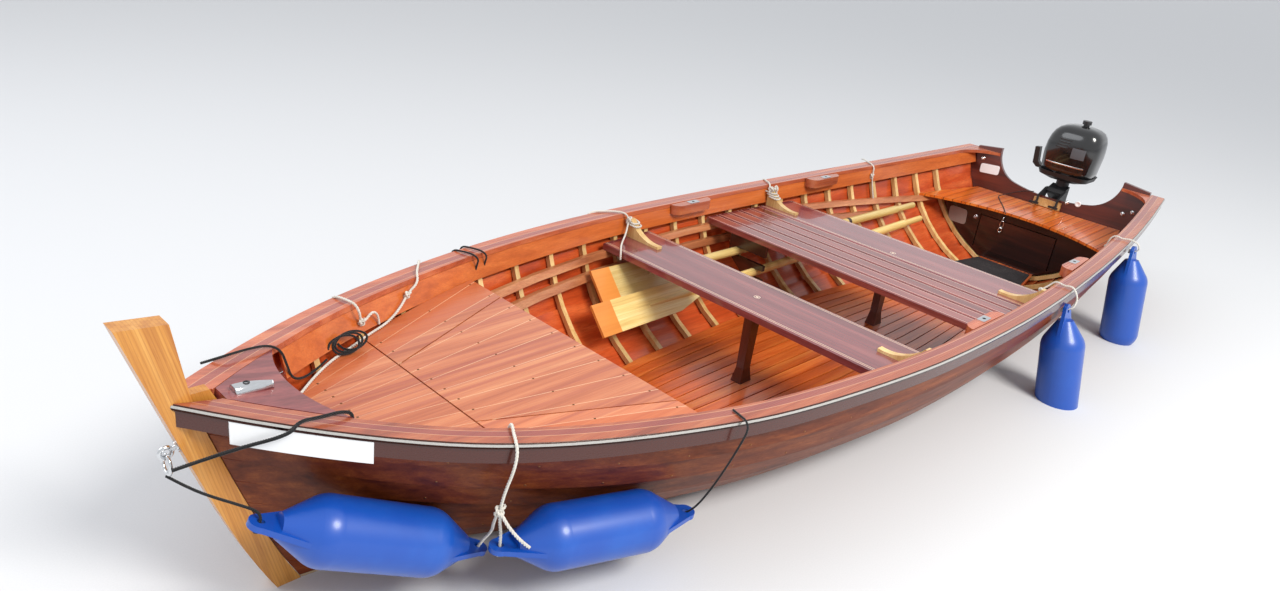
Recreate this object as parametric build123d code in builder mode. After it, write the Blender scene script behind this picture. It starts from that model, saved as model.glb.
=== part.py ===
"""Open clinker-built rowing boat, about 5 m over the rail, lying to its fenders, with a small outboard motor.

Frame: +X forward, +Y port, +Z up, millimetres. The origin is amidships on the centreline at the waterline.
"""
import math
import os

from build123d import *

os.makedirs("parts", exist_ok=True)

# Hull
LENGTH = 5000.0           # along the rail, from the transom to where the rail lands on the stem
STRAKES = 9               # on each side
PLANK = 9.0               # thickness of a strake
LAP = 20.0                # each strake covers this much of the one below
SEAM = 0.5                # air between strakes, and between a strake and what it lies on
KEEL_THICK = 28.0         # the keel and the stem's apron, across the boat
KEEL_BOTTOM = -172.0      # height of the keel's lower edge
STEM_THICK = 50.0         # the stem forward of the plank ends
STEM_FACE = 64.0          # the stem showing forward of the plank ends
STEM_HEAD = 787.0         # height of the stem's flat top
APRON = 55.0              # the stem abaft the plank ends
STEM_RAKE = 0.35          # forward lean of the plank ends for each unit of height
STEM_CURL = 50.0          # how far the forefoot curves aft of that lean at its foot
TRANSOM_RAKE = 0.12       # aft lean of the transom for each unit of height
TRANSOM_THICK = 25.0
EAR_HEIGHT = 556.0        # the transom's ears at the notch
EAR_CORNER = 538.0        # the transom's top at its outer corners
NOTCH_HALF = 358.0        # half width of the motor notch at its top
NOTCH_FLOOR = 348.0

# Rail, ribs and inside
CAP_WIDE = 68.0
CAP_THICK = 18.0
OUTWALE_WIDE = 20.0
OUTWALE_DEEP = 38.0
INWALE_WIDE = 12.0
INWALE_DEEP = 66.0
BEAD = 12.0               # height of the half-round metal strip on the rail's edge
RIB = 22.0                # ribs are square
RIB_PITCH = 195.5
RIB_COUNT = 22
RIB_FIRST = 2011.0        # the foremost rib
RIB_PLAY = 2.4            # clearance between a rib and the laps that it crosses
PLAY = 0.3                # clearance between pieces that rest on each other
RISER_WIDE = 18.0
RISER_DEEP = 26.0
STRINGER_DROP = 62.0      # a second lath lies this much lower

# Seats, floor and platform
FLOOR_TOP = 0.0
FLOOR_THICK = 12.0
FLOOR_BOARDS = 7          # on each side of the middle seam
BOARD_GAP = 5.0
FLOOR_FORE = 1700.0
THWART_TOP = 360.0
THWART_THICK = 28.0
THWART_FORE = 390.0       # middle of the forward thwart
THWART_FORE_WIDE = 290.0
THWART_AFT = -667.0       # middle of the aft thwart's plank
THWART_AFT_WIDE = 245.0
SLATS = 5
SLAT_WIDE = 68.0
SLAT_GAP = 10.0
PLATFORM_TOP = 400.0
PLATFORM_THICK = 14.0
PLATFORM_AFT = 1290.0
PLATFORM_FORE = 2300.0
HATCH_FORE = 1820.0
HATCH_FORE_HALF = 177.0
HATCH_AFT_HALF = 398.0
HATCH_GAP = 5.0
SEAT_TOP = 300.0
SEAT_THICK = 14.0
SEAT_FRONT_SIDE = -1890.0
SEAT_FRONT_MIDDLE = -2068.0
SEAT_BOARD = 57.0
SEAT_GAP = 3.0
LOCKER_X = -2090.0        # front face of the stern locker's panel
LOCKER_THICK = 16.0
DOOR_HALF = 220.0
DOOR_LOW = 45.0
DOOR_HIGH = 235.0
DOOR_GAP = 5.0

# The sheer and the keel at stations from the transom (0) to the stem (1). Columns: fraction of the length,
# half breadth over the rail, half breadth inside the planking at the rail, rail height, keel rabbet height,
# share of straight vee in the section
STATIONS = (
    (0.00, 575.0, 543.0, 527.0, -62.0, 0.34),
    (0.15, 681.0, 649.0, 487.0, -98.0, 0.20),
    (0.30, 752.0, 720.5, 466.0, -120.0, 0.10),
    (0.50, 791.0, 760.0, 456.0, -130.0, 0.06),
    (0.65, 755.0, 723.0, 464.0, -130.0, 0.12),
    (0.80, 612.0, 579.0, 481.0, -126.0, 0.34),
    (0.92, 358.0, 321.0, 523.0, -112.0, 0.72),
    (1.00, 62.0, 14.3, 588.0, -76.0, 1.00),
)
FRACTION, RAIL_HALF, PLANK_HALF, RAIL_Z, KEEL_Z, VEE = range(6)


def station(fraction, column):
    """Value of one column of the station table at a fraction of the length, on a smooth curve."""
    rows = STATIONS
    k = max(0, min(len(rows) - 2, sum(1 for row in rows if row[0] < fraction) - 1))

    def slope(i):
        i = max(1, min(len(rows) - 2, i))
        before, here, after = rows[i - 1], rows[i], rows[i + 1]
        left = (here[column] - before[column]) / (here[0] - before[0])
        right = (after[column] - here[column]) / (after[0] - here[0])
        share = (here[0] - before[0]) / (after[0] - before[0])
        return left * (1 - share) + right * share

    def end_slope(i):
        inner = 1 if i == 0 else len(rows) - 2
        chord = (rows[inner][column] - rows[i][column]) / (rows[inner][0] - rows[i][0])
        return 2 * chord - slope(inner)

    def tangent(i):
        return end_slope(i) if i in (0, len(rows) - 1) else slope(i)

    if fraction > 1:
        return rows[-1][column] + end_slope(len(rows) - 1) * (fraction - 1)
    low, high = rows[k], rows[k + 1]
    span = high[0] - low[0]
    t = (fraction - low[0]) / span
    return (
        low[column] * (1 + 2 * t) * (1 - t) ** 2
        + tangent(k) * span * t * (1 - t) ** 2
        + high[column] * t * t * (3 - 2 * t)
        - tangent(k + 1) * span * t * t * (1 - t)
    )


def transom_x(z):
    """Outer face of the transom at a height."""
    return -LENGTH / 2 - TRANSOM_RAKE * (z - STATIONS[0][RAIL_Z])


def rabbet_x(z):
    """Where the planks end on the stem at a height."""
    head = STATIONS[-1][RAIL_Z] - CAP_THICK
    drop = (head - z) / (head - STATIONS[-1][KEEL_Z])
    return LENGTH / 2 - 52.0 - STEM_RAKE * (head - z) - STEM_CURL * max(drop, 0) ** 4


def section(fraction, line):
    """Half breadth and height of strake line 0 (keel) to STRAKES (sheer) at a fraction of the length."""
    share = line / STRAKES
    angle = share * math.pi / 2
    vee = station(fraction, VEE)
    keel_y = KEEL_THICK / 2 + PLAY
    wide = station(fraction, PLANK_HALF) - keel_y
    keel_z = station(fraction, KEEL_Z)
    high = station(fraction, RAIL_Z) - CAP_THICK - 3 * PLAY - keel_z
    y = keel_y + wide * ((1 - vee) * math.sin(angle) + vee * share)
    z = keel_z + high * ((1 - vee) * (1 - math.cos(angle)) + vee * share)
    return y, z


def ends(line):
    """Where one strake line starts on the transom and ends on the stem, along X."""
    return transom_x(section(0, line)[1]), rabbet_x(section(1, line)[1])


def hull_point(fraction, line):
    """Point of the planking's inner side on the port side."""
    y, z = section(fraction, line)
    aft, fore = ends(line)
    return Vector(aft + fraction * (fore - aft), y, z)


def hull_at(x, line):
    """Half breadth and height of a strake line where it crosses a plane across the boat."""
    aft, fore = ends(line)
    return section(min(max((x - aft) / (fore - aft), 0), 1), line)


def inside_half(x, z):
    """Half breadth inside the planking at a height, along the chords between strake lines."""
    points = [hull_at(x, line) for line in range(STRAKES + 1)]
    for (y0, z0), (y1, z1) in zip(points, points[1:]):
        if z <= z1:
            return y0 + (y1 - y0) * max((z - z0) / (z1 - z0), 0)
    return points[-1][0]


def rib_half(x, z):
    """Half breadth inside the ribs at a height."""
    y = inside_half(x, z)
    steep = (inside_half(x, z) - inside_half(x, z - 10)) / 10
    return y - (RIB + RIB_PLAY) * math.hypot(1, steep)


def rail_fraction(x):
    """Fraction of the length of the topmost strake line at a plane across the boat."""
    aft, fore = ends(STRAKES)
    return (x - aft) / (fore - aft)


def rail_half(x):
    return station(max(rail_fraction(x), 0), RAIL_HALF)


def rail_z(x):
    return station(max(rail_fraction(x), 0), RAIL_Z)


def rail_stretch(x):
    """How much longer a width across the rail is when it is measured along Y."""
    slope = (rail_half(min(x + 10, LENGTH / 2)) - rail_half(max(x - 10, -LENGTH / 2))) / 20
    return math.hypot(1, slope)


def cap_inner(x):
    """Inner edge of the rail cap."""
    return rail_half(x) - CAP_WIDE * rail_stretch(x)


def slab(points, low, high):
    """A flat board seen from above, between two heights."""
    with BuildPart() as board:
        with BuildSketch(Plane.XY.offset(low)):
            with BuildLine():
                Polyline(*points, close=True)
            make_face()
        extrude(amount=high - low)
    return board.part


def through(planes_and_points, ruled=False):
    """A solid through several outlines with the same number of corners."""
    with BuildPart() as body:
        for plane, points in planes_and_points:
            with BuildSketch(plane):
                with BuildLine():
                    Polyline(*points, close=True)
                make_face()
        loft(ruled=ruled)
    return body.part


def across(x):
    """A plane across the boat, with its first axis to port and its second up."""
    return Plane(origin=(x, 0, 0), x_dir=(0, 1, 0), z_dir=(1, 0, 0))


def save(name, pieces):
    """Write one node from one piece or from a list of pieces that don't touch."""
    pieces = pieces if isinstance(pieces, list) else [pieces]
    with BuildPart() as node:
        for piece in pieces:
            add(piece)
    node.part.label = name
    export_step(node.part, f"parts/{name}.step")
    return node.part


def both_sides(name, port):
    """Write a port node and its mirror image."""
    save(f"{name}_port", port)
    port = port if isinstance(port, list) else [port]
    save(f"{name}_starboard", [mirror(piece, about=Plane.XZ) for piece in port])


# Strakes. Columns: fraction of the length, share of the full lap, share of the full step
HULL_SECTIONS = (
    (0.00, 1.0, 1.0), (0.07, 1.0, 1.0), (0.15, 1.0, 1.0), (0.22, 1.0, 1.0), (0.30, 1.0, 1.0), (0.40, 1.0, 1.0),
    (0.50, 1.0, 1.0), (0.58, 1.0, 1.0), (0.65, 1.0, 1.0), (0.73, 1.0, 1.0), (0.80, 1.0, 1.0), (0.86, 0.6, 1.0),
    (0.92, 0.0, 1.0), (0.96, -0.05, 0.6), (1.00, -0.1, 0.0),
)


def strake(number):
    sections = []
    for fraction, lap_share, step_share in HULL_SECTIONS:
        low, high = hull_point(fraction, number - 1), hull_point(fraction, number)
        run = high - low
        along = run.normalized()
        plane = Plane(origin=low, x_dir=along, z_dir=Vector(along.Z, 0, -along.X).normalized())
        lap = LAP * lap_share if number > 1 else -PLAY
        wide = run.length
        step = (PLANK + SEAM) / (1 - max(lap, 0) / (wide + max(lap, 0))) if number > 1 else 0
        step *= step_share
        sections.append(
            (plane, [(-lap, -step), (wide, 0), (wide, -PLANK), (-lap, -step - PLANK)])
        )
    return through(sections)


both_sides("strakes", [strake(number) for number in range(1, STRAKES + 1)])

# Stem: a thick fore part, and behind the plank ends a thinner apron between the strakes
FOREFOOT_X = 1990.0
stem_top_z = STATIONS[-1][RAIL_Z]


def stem_fore(z):
    return rabbet_x(z) + STEM_FACE


def stem_outline(front, back, low):
    """Corners of the stem's side between two distances from the plank ends, from a low height to its head."""
    heights = [low, -40, 0, 50, 110, 180, 260, 340, 440, 560]
    heights = [z for z in heights if z > low - 1]
    fore = [(rabbet_x(z) + front, z) for z in heights]
    aft = [(rabbet_x(z) + back, z) for z in heights]
    return fore, aft


fore, aft = stem_outline(STEM_FACE, 1.5, -76.0)
head_lean = STEM_RAKE * (STEM_HEAD - 560)
with BuildPart() as stem_post:
    with BuildSketch(Plane.XZ):
        with BuildLine():
            Polyline(*fore, (fore[-1][0] + head_lean, STEM_HEAD), (fore[-1][0] + head_lean - 104, STEM_HEAD - 9),
                     (aft[-1][0], 560), *reversed(aft[:-1]), close=True)
        make_face()
    extrude(amount=STEM_THICK / 2, both=True)
    apron_fore, apron_aft = stem_outline(PLAY, -APRON, -76.0)
    with BuildSketch(Plane.XZ):
        with BuildLine():
            Polyline(*apron_fore, (apron_fore[-1][0] + 20, 600), (apron_aft[-1][0] + 20, 600), *reversed(apron_aft),
                     close=True)
        make_face()
    extrude(amount=KEEL_THICK / 2, both=True)
    # The forefoot sweeps from the stem down to the keel, as thick as the keel
    foot_fore = (fore[0][0], fore[0][1])
    with BuildSketch(Plane.XZ):
        with BuildLine():
            ThreePointArc(foot_fore, (foot_fore[0] - 75, -132), (FOREFOOT_X, KEEL_BOTTOM))
            Polyline((FOREFOOT_X, KEEL_BOTTOM), (FOREFOOT_X, -112), (apron_aft[0][0], -76), foot_fore)
        make_face()
    extrude(amount=KEEL_THICK / 2, both=True)
save("stem_post", stem_post.part)

# Keel with its skeg aft
keel_fractions = (0.0, 0.15, 0.3, 0.5, 0.7, 0.85)
keel_top = [(hull_point(f, 0).X, hull_point(f, 0).Z + 14) for f in keel_fractions]
keel_fore_x = FOREFOOT_X - PLAY
with BuildPart() as keel:
    with BuildSketch(Plane.XZ):
        with BuildLine():
            Polyline((keel_top[0][0] + TRANSOM_THICK + 4, KEEL_BOTTOM + 6), (keel_fore_x, KEEL_BOTTOM),
                     (keel_fore_x, -112 + 2), *reversed(keel_top[1:]),
                     (keel_top[0][0] + TRANSOM_THICK + 4, keel_top[0][1] - 2), close=True)
        make_face()
    extrude(amount=KEEL_THICK / 2, both=True)
save("keel", keel.part)

# Transom, fitted inside the plank ends, with a notch for the motor
TRANSOM_DEEP = TRANSOM_THICK / LENGTH


def transom_outline(fraction):
    """Corners of the port half, from the keel to the sheer, stepped at each lap."""
    corners = []
    for line in range(STRAKES + 1):
        here = hull_point(fraction, line)
        corners.append((here.X, here.Y - SEAM - PLAY, here.Z + PLAY))
    return corners


def transom_plane(offset):
    lean = Vector(-TRANSOM_RAKE, 0, 1).normalized()
    origin = Vector(transom_x(0) + offset, 0, 0)
    return Plane(origin=origin, x_dir=(0, 1, 0), z_dir=Vector(lean.Z, 0, -lean.X))


def transom_points(offset, fraction):
    plane = transom_plane(offset)
    local = [plane.to_local_coords(Vector(*corner)) for corner in transom_outline(fraction)]
    side = [(point.X, point.Y) for point in local]
    side[-1] = (side[-1][0], side[-1][1] - 4 * PLAY)
    stretch = math.hypot(1, TRANSOM_RAKE)
    inner = cap_inner(-LENGTH / 2) - 2 * PLAY - 2
    side.append((inner, side[-1][1]))
    side.append((inner, EAR_CORNER * stretch))
    mirrored = [(-y, z) for y, z in reversed(side)]
    return plane, side + [(NOTCH_HALF, EAR_HEIGHT * stretch), (-NOTCH_HALF, EAR_HEIGHT * stretch)] + mirrored


with BuildPart() as transom:
    for offset, fraction in ((0, 0), (TRANSOM_THICK * 1.01, TRANSOM_DEEP)):
        plane, points = transom_points(offset, fraction)
        with BuildSketch(plane):
            with BuildLine():
                Polyline(*points, close=True)
            make_face()
    loft(ruled=True)
    with BuildSketch(transom_plane(-50)):
        with BuildLine():
            ThreePointArc((NOTCH_HALF, EAR_HEIGHT + 12), (NOTCH_HALF - 34, 440), (225, 376))
            ThreePointArc((225, 376), (0, NOTCH_FLOOR + 2), (-225, 376))
            ThreePointArc((-225, 376), (-NOTCH_HALF + 34, 440), (-NOTCH_HALF, EAR_HEIGHT + 12))
            Line((-NOTCH_HALF, EAR_HEIGHT + 12), (NOTCH_HALF, EAR_HEIGHT + 12))
        make_face()
    extrude(amount=150, mode=Mode.SUBTRACT)
save("transom", transom.part)


# Ribs: bent square bars against the inner sides of the laps
def inset(points, distance):
    """An open outline moved to its inner side, to the left of its direction."""
    moved = []
    for i, (y, z) in enumerate(points):
        before, after = points[max(i - 1, 0)], points[min(i + 1, len(points) - 1)]
        dy, dz = after[0] - before[0], after[1] - before[1]
        size = math.hypot(dy, dz)
        moved.append((y - dz / size * distance, z + dy / size * distance))
    return moved


def rib_line(x, distance):
    """The side's section at a plane, moved inward, from near the keel to under the cap."""
    points = [hull_at(x, line) for line in [0.4] + list(range(1, STRAKES))]
    top_y, top_z = hull_at(x, STRAKES)
    points.append((top_y, top_z))
    return inset(points, distance)


def rib(x):
    sections = []
    for place in (x - RIB / 2, x + RIB / 2):
        outer, inner = rib_line(place, RIB_PLAY), rib_line(place, RIB_PLAY + RIB)
        inner = [(max(y, 1.5), z) for y, z in inner]
        top = rail_z(place) - CAP_THICK - 2 * PLAY
        outer[-1] = (outer[-1][0], min(top, outer[-1][1]))
        inner[-1] = (inner[-1][0], min(top, inner[-1][1]))
        sections.append((across(place), outer + list(reversed(inner))))
    return through(sections, ruled=True)


rib_places = [RIB_FIRST - RIB_PITCH * k for k in range(RIB_COUNT)]
both_sides("ribs", [rib(x) for x in rib_places])


# Rail: a cap over the plank edge and rib heads, an outwale, an inwale and a metal bead
def along_rail(places, outline):
    """A loft along the rail through outlines given for each place."""
    return through([(across(x), outline(x)) for x in places])


def block(inner, outer, low, high):
    return [(inner, low), (outer, low), (outer, high), (inner, high)]


RAIL_PLACES = [-LENGTH / 2, *range(-2250, 2100, 250), 2150, 2250, 2330, 2420, LENGTH / 2 - 2]


def cap_outline(x):
    return block(cap_inner(x), rail_half(x), rail_z(x) - CAP_THICK, rail_z(x))


def outwale_outline(x):
    top = rail_z(x) - CAP_THICK - PLAY
    stretch = rail_stretch(x)
    return block(rail_half(x) - OUTWALE_WIDE * stretch, rail_half(x) - 2 * stretch, top - OUTWALE_DEEP, top)


def inwale_outline(x):
    high = rail_z(x) - CAP_THICK - 3 * PLAY
    low = high - INWALE_DEEP
    wide = INWALE_WIDE * rail_stretch(x)
    y_low, y_high = rib_half(x, low) - 3 * PLAY, rib_half(x, high) - 3 * PLAY
    return [(y_low - wide, low), (y_low, low), (y_high, high), (y_high - wide, high)]


def bead_outline(x):
    y = rail_half(x) + 2 * PLAY
    z = rail_z(x) - CAP_THICK / 2
    return [(y, z - BEAD / 2), (y + 3, z - BEAD / 2), (y + 5, z), (y + 3, z + BEAD / 2), (y, z + BEAD / 2)]


INWALE_PLACES = [-LENGTH / 2 + TRANSOM_THICK + 18, *range(-2250, 2100, 250), 2140]


def beside_stem(piece):
    """A port rail piece cut back to the stem's side, and to the middle abaft the stem."""
    side = STEM_THICK / 2 + 2 * PLAY
    apron_x = rabbet_x(560) - APRON
    with BuildPart() as cut:
        add(piece)
        with BuildSketch(Plane.XY):
            with BuildLine():
                Polyline((apron_x - 500, PLAY), (apron_x, PLAY), (apron_x, side), (apron_x + 400, side),
                         (apron_x + 400, -500), (apron_x - 500, -500), close=True)
            make_face()
        extrude(amount=900, mode=Mode.SUBTRACT)
    return cut.part


both_sides("gunwale", [beside_stem(along_rail(RAIL_PLACES, outline)) for outline in (cap_outline, outwale_outline)])
both_sides("inwale", along_rail(INWALE_PLACES, inwale_outline))
both_sides("rub_strip", beside_stem(along_rail(RAIL_PLACES, bead_outline)))

# Breasthook between the rail caps, with a hollow aft edge, cut round the apron
HORN_X = 2172.0
HOOK_THICK = 26.0
hook_fore_x = rabbet_x(560) - APRON - 9
hook_slope = (rail_z(hook_fore_x) - rail_z(HORN_X)) / (hook_fore_x - HORN_X)
hook_run = math.hypot(1, hook_slope)
hook_plane = Plane(origin=(HORN_X, 0, rail_z(HORN_X)), x_dir=(1, 0, hook_slope), z_dir=(-hook_slope, 0, 1))
HOOK_PLAY = 2.9
HOOK_PLACES = (2240, 2310, hook_fore_x)
horn = cap_inner(HORN_X) - HOOK_PLAY
with BuildPart() as breasthook:
    with BuildSketch(hook_plane):
        with BuildLine():
            ThreePointArc((0, -horn), (50 * hook_run, 0), (0, horn))
            Polyline((0, horn), *[((x - HORN_X) * hook_run, cap_inner(x) - HOOK_PLAY) for x in HOOK_PLACES],
                     *[((x - HORN_X) * hook_run, HOOK_PLAY - cap_inner(x)) for x in reversed(HOOK_PLACES)],
                     (0, -horn))
        make_face()
    extrude(amount=-HOOK_THICK)
save("breasthook", breasthook.part)


# Floor: boards that fan with the hull, on shaped bearers over the ribs
def floor_half(x):
    return rib_half(x, FLOOR_TOP - FLOOR_THICK) - 6


FLOOR_PLACES = [LOCKER_X + 2, -1700, -1200, -600, 0, 600, 1100, 1450, FLOOR_FORE]


def floor_board(number):
    low, high = number / FLOOR_BOARDS, (number + 1) / FLOOR_BOARDS
    gap = BOARD_GAP / 2
    one = [(x, floor_half(x) * low + gap) for x in FLOOR_PLACES]
    two = [(x, floor_half(x) * high - gap) for x in reversed(FLOOR_PLACES)]
    return slab(one + two, FLOOR_TOP - FLOOR_THICK, FLOOR_TOP)


boards = [floor_board(number) for number in range(FLOOR_BOARDS)]
save("floorboards", boards + [mirror(board, about=Plane.XZ) for board in boards])


def bearer(x):
    """A floor timber that fills the space between the ribs' inner sides and the floorboards."""
    top = FLOOR_TOP - FLOOR_THICK - PLAY
    sections = []
    for place in (x - RIB / 2, x + RIB / 2):
        line = [point for point in rib_line(place, RIB_PLAY + RIB + SEAM) if point[1] < top - 12]
        side = floor_half(place) - 20
        half = line + [(min(side, line[-1][0] + 45), top)]
        sections.append((across(place), half + [(-y, z) for y, z in reversed(half)]))
    return through(sections, ruled=True)


bearer_places = [rib_places[k] for k in (3, 6, 9, 12, 15, 18)]
save("floor_bearers", [bearer(x) for x in bearer_places])

# Seat risers along the ribs
SEAT_BASE = SEAT_TOP - SEAT_THICK - PLAY
THWART_BASE = THWART_TOP - THWART_THICK - PLAY


def riser_top(x):
    start, end = -850.0, SEAT_FRONT_SIDE
    share = min(max((start - x) / (start - end), 0), 1)
    return THWART_BASE + (SEAT_BASE - THWART_BASE) * share


def riser_outline(x, drop=0):
    high = riser_top(x) - drop
    low = high - RISER_DEEP
    y_low, y_high = rib_half(x, low) - PLAY, rib_half(x, high) - PLAY
    return [(y_low - RISER_WIDE, low), (y_low, low), (y_high, high), (y_high - RISER_WIDE, high)]


RISER_PLACES = [-LENGTH / 2 + 75, -2180, -1890, -1600, -1200, -850, -600, 0, 600, 950, PLATFORM_AFT - 10]
both_sides("riser", [through([(across(x), riser_outline(x, drop)) for x in places], ruled=True)
                     for drop, places in ((0, RISER_PLACES), (STRINGER_DROP, RISER_PLACES[3:]))])


# Thwarts across the boat, on the risers
def thwart(aft, fore, top, thick):
    corners = [(x, rib_half(x, top - thick) - 2) for x in (aft, fore)]
    points = corners + [(x, -y) for x, y in reversed(corners)]
    with BuildPart() as board:
        add(slab(points, top - thick, top))
        fillet(board.edges().filter_by(Axis.Z, reverse=True).group_by(Axis.Z)[-1], 5)
    return board.part


thwart_forward = thwart(THWART_FORE - THWART_FORE_WIDE / 2, THWART_FORE + THWART_FORE_WIDE / 2, THWART_TOP, THWART_THICK)
save("thwart_forward", thwart_forward)
save("thwart_aft", thwart(THWART_AFT - THWART_AFT_WIDE / 2, THWART_AFT + THWART_AFT_WIDE / 2, THWART_TOP,
                          THWART_THICK))
slat_start = THWART_AFT + THWART_AFT_WIDE / 2 + SLAT_GAP
slats = [thwart(slat_start + k * (SLAT_WIDE + SLAT_GAP), slat_start + k * (SLAT_WIDE + SLAT_GAP) + SLAT_WIDE,
                THWART_TOP, THWART_THICK) for k in range(SLATS)]
save("thwart_slats", slats)


# Posts under the thwarts: flared feet, slim waists
def post(x):
    rows = ((FLOOR_TOP + PLAY, 34, 24), (FLOOR_TOP + 60, 22, 17), (THWART_TOP - THWART_THICK - PLAY, 26, 20))
    return through([(Plane.XY.offset(z), [(x - a, -b), (x + a, -b), (x + a, b), (x - a, b)]) for z, a, b in rows],
                   ruled=True)


save("thwart_posts", [post(THWART_FORE), post(THWART_AFT + 60)])

# Knees standing on the thwarts against the inwales
KNEE_THICK = 28.0


def knee(x):
    inner = min(inwale_outline(x - KNEE_THICK / 2)[0][0], inwale_outline(x + KNEE_THICK / 2)[0][0]) - PLAY
    high = rail_z(x) - CAP_THICK - PLAY - 2
    low = THWART_TOP + PLAY
    with BuildPart() as crook:
        with BuildSketch(across(x - KNEE_THICK / 2)):
            with BuildLine():
                Polyline((inner - 14, high), (inner, high), (inner, low), (inner - 178, low), (inner - 178, low + 12))
                ThreePointArc((inner - 178, low + 12), (inner - 68, low + 32), (inner - 14, high))
            make_face()
        extrude(amount=KNEE_THICK)
    return crook.part


knees = [knee(THWART_FORE - 16), knee(THWART_AFT + 65)]
save("thwart_knees", knees + [mirror(piece, about=Plane.XZ) for piece in knees])

# Rowlock pads inside the cap, with metal sockets
ROWLOCK_PLACES = (-17.0, -1013.0)
PAD_LONG = 250.0
PAD_WIDE = 38.0
PAD_DEEP = 42.0
PAD_ROUND = 45.0          # length of each rounded end
SOCKET_BORE = 6.5
SOCKET_WALL = 3.5
SOCKET_PLATE = 3.0
SOCKET_LONG = 62.0
SOCKET_WIDE = 30.0


def pad_outer(x):
    """Where a pad meets the cap and the inwale, which leans out above the pad's foot."""
    foot = rib_half(x, rail_z(x) - 1 - PAD_DEEP) - PLAY - INWALE_WIDE * rail_stretch(x)
    return min(cap_inner(x), foot) - 4 * PLAY


def pad_middle(x):
    return min(pad_outer(x - PAD_LONG / 2), pad_outer(x), pad_outer(x + PAD_LONG / 2)) - PAD_WIDE / 2


def pad(x):
    """A block inside the cap and the inwale, rounded at its inner ends, drilled for the socket."""
    top = rail_z(x) - 1
    aft, fore = x - PAD_LONG / 2, x + PAD_LONG / 2
    outer = [(place, pad_outer(place)) for place in (aft, x, fore)]
    inner = pad_middle(x) - PAD_WIDE / 2
    with BuildPart() as body:
        with BuildSketch(Plane.XY.offset(top - PAD_DEEP)):
            with BuildLine():
                Polyline((aft, outer[0][1] - 8), *outer, (fore, outer[2][1] - 8))
                ThreePointArc((fore, outer[2][1] - 8), (fore - PAD_ROUND * 0.4, inner + 7), (fore - PAD_ROUND, inner))
                Line((fore - PAD_ROUND, inner), (aft + PAD_ROUND, inner))
                ThreePointArc((aft + PAD_ROUND, inner), (aft + PAD_ROUND * 0.4, inner + 7), (aft, outer[0][1] - 8))
            make_face()
        extrude(amount=PAD_DEEP)
        with Locations((x, pad_middle(x), top)):
            Hole(SOCKET_BORE + SOCKET_WALL + PLAY, depth=PAD_DEEP * 2)
    return body.part


def socket(x):
    """A metal plate on the pad with a tube through it for the rowlock's pin."""
    seat = rail_z(x) - 1 + PLAY
    middle = (x, pad_middle(x))
    with BuildPart() as body:
        with BuildSketch(Plane.XY.offset(seat)):
            with Locations(middle):
                RectangleRounded(SOCKET_LONG, SOCKET_WIDE, 6)
        extrude(amount=SOCKET_PLATE)
        with BuildSketch(Plane.XY.offset(seat)):
            with Locations(middle):
                Circle(SOCKET_BORE + SOCKET_WALL)
        extrude(amount=-PAD_DEEP)
        with Locations((*middle, seat + SOCKET_PLATE)):
            Hole(SOCKET_BORE, depth=PAD_DEEP * 2)
    return body.part


pads = [pad(x) for x in ROWLOCK_PLACES]
sockets = [socket(x) for x in ROWLOCK_PLACES]
save("rowlock_pads", pads + [mirror(piece, about=Plane.XZ) for piece in pads])
save("rowlock_sockets", sockets + [mirror(piece, about=Plane.XZ) for piece in sockets])
print("rowlock sockets", [(x, round(pad_middle(x), 3), round(rail_z(x) - 1 + PLAY, 3)) for x in ROWLOCK_PLACES])


# Fore platform with its hatch, on beams
def platform_half(x):
    inwale_y, inwale_low = inwale_outline(x)[0]
    side = rib_half(x, PLATFORM_TOP - PLATFORM_THICK) - 4
    return min(side, inwale_y - 1) if inwale_low < PLATFORM_TOP + 2 and x < INWALE_PLACES[-1] + 20 else side


low, high = PLATFORM_TOP - PLATFORM_THICK, PLATFORM_TOP
fore_places = [HATCH_FORE + HATCH_GAP / 2, 1960, 2080, 2180, PLATFORM_FORE]
fore_edge = [(x, platform_half(x)) for x in fore_places]
fore_panel = slab(fore_edge + [(x, -y) for x, y in reversed(fore_edge)], low, high)
side_places = [PLATFORM_AFT, 1420, 1550, 1690, HATCH_FORE - HATCH_GAP / 2]
side_edge = [(x, platform_half(x)) for x in side_places]
side_panel = slab(
    side_edge + [(HATCH_FORE - HATCH_GAP / 2, HATCH_FORE_HALF + HATCH_GAP), (PLATFORM_AFT, HATCH_AFT_HALF + HATCH_GAP)],
    low, high)
save("fore_platform", [fore_panel, side_panel, mirror(side_panel, about=Plane.XZ)])
hatch_fore_edge = HATCH_FORE - HATCH_GAP / 2
hatch = slab([(PLATFORM_AFT, -HATCH_AFT_HALF), (hatch_fore_edge, -HATCH_FORE_HALF),
              (hatch_fore_edge, HATCH_FORE_HALF), (PLATFORM_AFT, HATCH_AFT_HALF)], low, high)
save("platform_hatch", hatch)
BEAM_WIDE = 30.0
BEAM_DEEP = 45.0


def beam(x, top):
    """A straight beam between the ribs, under a deck."""
    wide = min(rib_half(place, height) for place in (x - BEAM_WIDE / 2, x + BEAM_WIDE / 2)
               for height in (top, top - BEAM_DEEP)) - 1
    return slab([(x - BEAM_WIDE / 2, -wide), (x + BEAM_WIDE / 2, -wide), (x + BEAM_WIDE / 2, wide),
                 (x - BEAM_WIDE / 2, wide)], top - BEAM_DEEP, top - PLAY)


save("platform_beams", [beam(x, low) for x in (PLATFORM_AFT + BEAM_WIDE, 1555, HATCH_FORE, 2120)])

# Stern seat of fore-and-aft boards, its front edge hollow, and its beams
seat_back = transom_x(SEAT_TOP - SEAT_THICK) + TRANSOM_THICK + 4


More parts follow.
